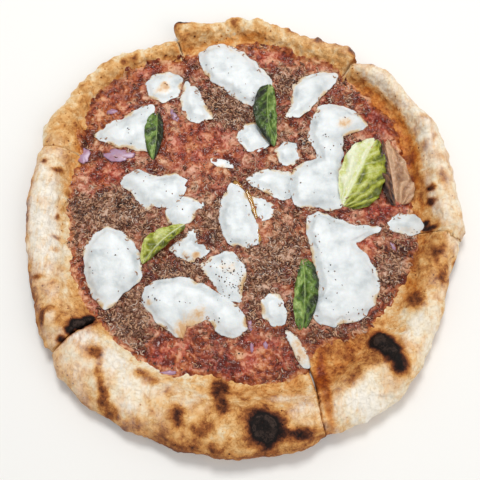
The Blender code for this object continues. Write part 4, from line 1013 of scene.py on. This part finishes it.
def scatter(name, ground, shape, load, most, seed, sizes, tilt, lift, material):
    """Scatters copies of a shape over a mesh, as thick as an amount on it says, and joins them."""
    pattern = bpy.data.objects.new("pattern", shape)
    bpy.context.scene.collection.objects.link(pattern)
    tree = bpy.data.node_groups.new("scatter_" + name, "GeometryNodeTree")
    for label, kind in (("Ground", "NodeSocketGeometry"), ("Shape", "NodeSocketObject"),
                        ("Load", "NodeSocketString"), ("Most", "NodeSocketFloat"), ("Seed", "NodeSocketInt"),
                        ("Smallest", "NodeSocketFloat"), ("Largest", "NodeSocketFloat"),
                        ("Tilt", "NodeSocketFloat"), ("Lift", "NodeSocketFloat"), ("Finish", "NodeSocketMaterial")):
        tree.interface.new_socket(label, in_out="INPUT", socket_type=kind)
    tree.interface.new_socket("Pieces", in_out="OUTPUT", socket_type="NodeSocketGeometry")
    given = add_node(tree, "NodeGroupInput").outputs
    amount = add_node(tree, "GeometryNodeInputNamedAttribute", {"Name": given["Load"]}, data_type="FLOAT").outputs[0]
    thick = add_node(tree, "ShaderNodeMath", {0: amount, 1: given["Most"]}, operation="MULTIPLY").outputs[0]
    spread = add_node(tree, "GeometryNodeDistributePointsOnFaces",
                      {"Mesh": given["Ground"], "Density": thick, "Seed": given["Seed"]})
    lean = add_node(tree, "ShaderNodeMath", {0: given["Tilt"], 1: -1.0}, operation="MULTIPLY").outputs[0]
    low = add_node(tree, "ShaderNodeCombineXYZ", {0: lean, 1: lean, 2: 0.0}).outputs[0]
    high = add_node(tree, "ShaderNodeCombineXYZ", {0: given["Tilt"], 1: given["Tilt"], 2: math.tau}).outputs[0]
    angle = add_node(tree, "FunctionNodeRandomValue", {0: low, 1: high, "Seed": given["Seed"]},
                     data_type="FLOAT_VECTOR").outputs[0]
    turn = add_node(tree, "FunctionNodeEulerToRotation", {0: angle}).outputs[0]
    size = add_node(tree, "FunctionNodeRandomValue", {2: given["Smallest"], 3: given["Largest"],
                                                      "Seed": given["Seed"]}, data_type="FLOAT").outputs[1]
    model = add_node(tree, "GeometryNodeObjectInfo", {"Object": given["Shape"]}).outputs["Geometry"]
    laid = add_node(tree, "GeometryNodeInstanceOnPoints", {"Points": spread.outputs["Points"], "Instance": model,
                                                           "Rotation": turn, "Scale": size}).outputs[0]
    up = add_node(tree, "ShaderNodeCombineXYZ", {2: given["Lift"]}).outputs[0]
    raised = add_node(tree, "GeometryNodeSetPosition", {"Geometry": laid, "Offset": up}).outputs[0]
    joined = add_node(tree, "GeometryNodeRealizeInstances", {"Geometry": raised}).outputs[0]
    painted = add_node(tree, "GeometryNodeSetMaterial", {"Geometry": joined, "Material": given["Finish"]}).outputs[0]
    add_node(tree, "NodeGroupOutput", {"Pieces": painted})
    base = bpy.data.objects.new("ground", ground)
    bpy.context.scene.collection.objects.link(base)
    modifier = base.modifiers.new("scatter", "NODES")
    modifier.node_group = tree
    values = {"Shape": pattern, "Load": load, "Most": most, "Seed": seed, "Smallest": sizes[0],
              "Largest": sizes[1], "Tilt": tilt, "Lift": lift, "Finish": material}
    for socket in tree.interface.items_tree:
        if socket.in_out == "INPUT" and socket.name in values:
            modifier[socket.identifier] = values[socket.name]
    graph = bpy.context.evaluated_depsgraph_get()
    mesh = bpy.data.meshes.new_from_object(base.evaluated_get(graph))
    bpy.data.objects.remove(base)
    bpy.data.objects.remove(pattern)
    return finished(name, mesh, material)


# --- build it all ---
dough = dough_material()
rough_cuts = {number: merged_copy(f"slice_{number}") for number in range(1, 7)}
slices = []
for number in range(1, 7):
    slices.append(bake_slice(number, rough_cuts))
    finished(f"baked_slice_{number}", slices[-1], dough, f"slice_{number}")

white_cheese = mozzarella_material()
cheese_names = sorted(name for name in nodes if name.startswith("mozzarella_"))
cheeses = []
for name in cheese_names:
    cheeses.append(melt_cheese(name))
    finished("melted_" + name, cheeses[-1], white_cheese, name)
cheese_tree = tree_of(cheeses)

tomato = sauce_material()
field = lay_sauce(slices)
laid_on = np.column_stack([field["x"], field["y"], np.nan_to_num(field["top"].ravel(), nan=-1.0)])
beside, bare = np.ones(len(laid_on)), np.zeros(len(laid_on))
for k in np.flatnonzero(laid_on[:, 2] > 0):
    beside[k] = cheese_tree.find_nearest(Vector(laid_on[k]))[3]
    bare[k] = cheese_tree.ray_cast(Vector((laid_on[k, 0], laid_on[k, 1], 0.06)), DOWN)[0] is None
ring = 1 - ease(beside, 0.3 * MM, 2.2 * MM)
ground_noise = soft_noise(level_field(field["x"], field["y"]), 5 * MM, 67)
# how near the sauce's edge a place is; there the sauce is more amber and carries fewer crumbs
near_sauce_edge = 1 - ease(field["inward"], 0.0, 7 * MM)
amber = patches(field["x"], field["y"], AMBER_PATCHES) + 0.8 * near_sauce_edge + 0.7 * ring * (0.5 + ground_noise)
# painted shade beside the mozzarella and over the gaps between slices, with darker patches and a random tone
shade = 0.45 * ring * (0.6 - ground_noise) + 0.7 * field["gap"] + patches(field["x"], field["y"], DEEP_PATCHES)
amounts = dict(crumb=np.clip(field["crumb"] * (1 - near_sauce_edge * 0.8), 0, 1), amber=np.clip(amber, 0, 1),
               shade=np.clip(shade + 0.2 * ground_noise, 0, 1))
load = ease(field["crumb"], 0.3, 0.95) * ease(field["inward"], 0.0, 5 * MM) * bare
sheets = []
for number in range(6):
    mesh, sheet = sauce_sheet(field, number, amounts)
    piece = finished(f"tomato_sauce_{number + 1}", mesh, tomato)
    piece.data.set_sharp_from_angle(angle=math.radians(65))
    sheets.append(sheet)

basils = {
    "green": basil_material("basil_green", ("#10190A", "#2E430F", "#5B7A2A", "#A5BC6E")),
    "yellow": basil_material("basil_yellow_green", ("#545C0E", "#A0A62B", "#CDD384", "#E6EACB")),
    "browned": basil_material("basil_browned", ("#2A181A", "#6A4632", "#A67C5C", "#CFA885")),
}
for leaf in LEAVES:
    kind = {"right": "yellow", "middle": "yellow", "browned": "browned"}.get(leaf[0], "green")
    blade = grow_leaf(leaf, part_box(f"basil_{leaf[0]}")[0].z)
    finished(f"leaf_{leaf[0]}", blade, basils[kind], f"basil_{leaf[0]}")

# the sauce's upper side as one mesh, for what lies on it
starts = np.cumsum([0] + [len(sheet[0]) for sheet in sheets])
ground = mesh_from("ground", np.concatenate([sheet[0] for sheet in sheets]),
                   np.concatenate([sheet[1] + start for start, sheet in zip(starts, sheets)]))
seen = np.concatenate([sheet[2] for sheet in sheets])
set_amount(ground, "load", load[seen])
set_amount(ground, "bare", (bare * ease(field["inward"], 0.0, 2 * MM))[seen])
ground_tree = tree_of([ground] + slices)
# the "sheen" colours are a painted reflection of the room, lilac on the oil, not the oil's own colour
oils = {"sheen": oil_material("oil_painted_lilac_reflection", "#B79ABA", "#B07C94", 0.2, 0.3),
        "gold": oil_material("oil_gold", "#E2B25C", "#B8792C", 0.5, 0.05)}
for number, pool in enumerate(POOLS, 1):
    finished(f"olive_oil_{number}", pour_pool(number, pool, ground_tree), oils[pool[5]])

pale_bits = bit_material("grated_cheese_pale", "#C2A28C", "#E6D2C2", 2.0, 0.4)
gold_bits = bit_material("grated_cheese_golden", "#A57656", "#D6AC8C", 2.0, 0.35)
brown_bits = bit_material("grated_cheese_browned", "#56321F", "#946650", 2.5, 0.4)
char_bits = bit_material("char_specks", "#1A1210", "#3A2A22", 1.5, 0.6)
drops = oil_material("oil_droplets", "#E9C9A8", "#D98F5A", 0.85, 0.05)
scatter("grated_cheese_pale", ground, curl_of_cheese(1.7, 0.6, 2.0, 5), "load", 0.7e5, 3, (0.6, 1.3), 0.5,
        0.0, pale_bits)
scatter("grated_cheese_golden", ground, curl_of_cheese(1.5, 0.8, 2.2, 5), "load", 1.2e5, 7, (0.6, 1.4), 0.5,
        0.0, gold_bits)
scatter("grated_cheese_browned", ground, curl_of_cheese(1.6, 0.9, 1.9, 4), "load", 1.3e5, 4, (0.6, 1.4), 0.4,
        0.0, brown_bits)
scatter("grated_cheese_crumbs", ground, chip(1.1, 11), "load", 1.6e5, 8, (0.5, 1.3), 0.6, 0.3 * MM,
        gold_bits)
scatter("grated_cheese_stray", ground, curl_of_cheese(1.3, 0.55, 2.2, 5), "bare", 1.2e4, 5, (0.6, 1.3), 0.3,
        0.0, gold_bits)
scatter("char_specks", ground, chip(1.0, 9), "bare", 1.6e4, 6, (0.5, 1.4), 0.4, 0.1 * MM, char_bits)
scatter("oil_droplets", ground, chip(1.3, 12), "bare", 6.0e4, 9, (0.4, 1.2), 0.1, 0.0, drops)
tops = joined_copy(cheeses)
scatter("grated_cheese_on_mozzarella", tops, curl_of_cheese(1.4, 0.65, 2.2, 5), "fringe", 0.7e5, 13, (0.5, 1.2),
        0.4, 0.0, gold_bits)
scatter("specks_on_mozzarella", tops, chip(0.9, 14), "strewn", 1.6e4, 15, (0.4, 1.5), 0.5, 0.0,
        char_bits)
scatter("crumbs_on_mozzarella", tops, chip(1.1, 16), "strewn", 2.0e4, 17, (0.5, 1.4), 0.5, 0.0,
        brown_bits)

# --- floor, light and camera ---
floor_mesh = mesh_from("floor", [(-3, -3, 0), (3, -3, 0), (3, 3, 0), (-3, 3, 0)], [(0, 1, 2, 3)])
floor = bpy.data.objects.new("floor", floor_mesh)
bpy.context.scene.collection.objects.link(floor)
floor.location.z = -0.05 * MM
paper = bpy.data.materials.new("matt_white_floor")
paper.use_nodes = True
paper.node_tree.nodes["Principled BSDF"].inputs["Base Color"].default_value = paint("#F2F2F0")
paper.node_tree.nodes["Principled BSDF"].inputs["Roughness"].default_value = 0.9
floor_mesh.materials.append(paper)

world = bpy.data.worlds.new("soft_room")
bpy.context.scene.world = world
world.use_nodes = True
world.node_tree.nodes["Background"].inputs["Color"].default_value = (1.0, 0.99, 0.98, 1.0)
world.node_tree.nodes["Background"].inputs["Strength"].default_value = 0.5


def add_light(name, azimuth, elevation, distance, size, power, colour):
    """A soft square lamp that looks at the pizza; azimuth is the bearing it stands at."""
    lamp = bpy.data.lights.new(name, "AREA")
    lamp.size = size
    lamp.energy = power
    lamp.color = colour
    stand = bpy.data.objects.new(name, lamp)
    a, e = math.radians(azimuth), math.radians(elevation)
    stand.location = distance * Vector((math.cos(e) * math.cos(a), math.cos(e) * math.sin(a), math.sin(e)))
    stand.rotation_euler = (-stand.location).to_track_quat("-Z", "Y").to_euler()
    bpy.context.scene.collection.objects.link(stand)


add_light("window_light", 95, 66, 1.4, 0.4, 10.5, (1.0, 0.99, 0.97))
add_light("room_fill", 322, 38, 1.6, 1.2, 7, (1.0, 0.98, 0.96))

TARGET = Vector((-3.7 * MM, -19.3 * MM, 10 * MM))
CAMERA_RISE = math.radians(70)
camera_data = bpy.data.cameras.new("camera")
camera_data.lens = 51.86
camera_data.sensor_width = 36
camera_data.clip_start = 0.01
camera = bpy.data.objects.new("camera", camera_data)
camera.location = TARGET + 0.47 * Vector((0, -math.cos(CAMERA_RISE), math.sin(CAMERA_RISE)))
camera.rotation_euler = (math.radians(90) - CAMERA_RISE, 0, 0)
bpy.context.scene.collection.objects.link(camera)
bpy.context.scene.camera = camera
bpy.context.scene.view_settings.view_transform = "Standard"
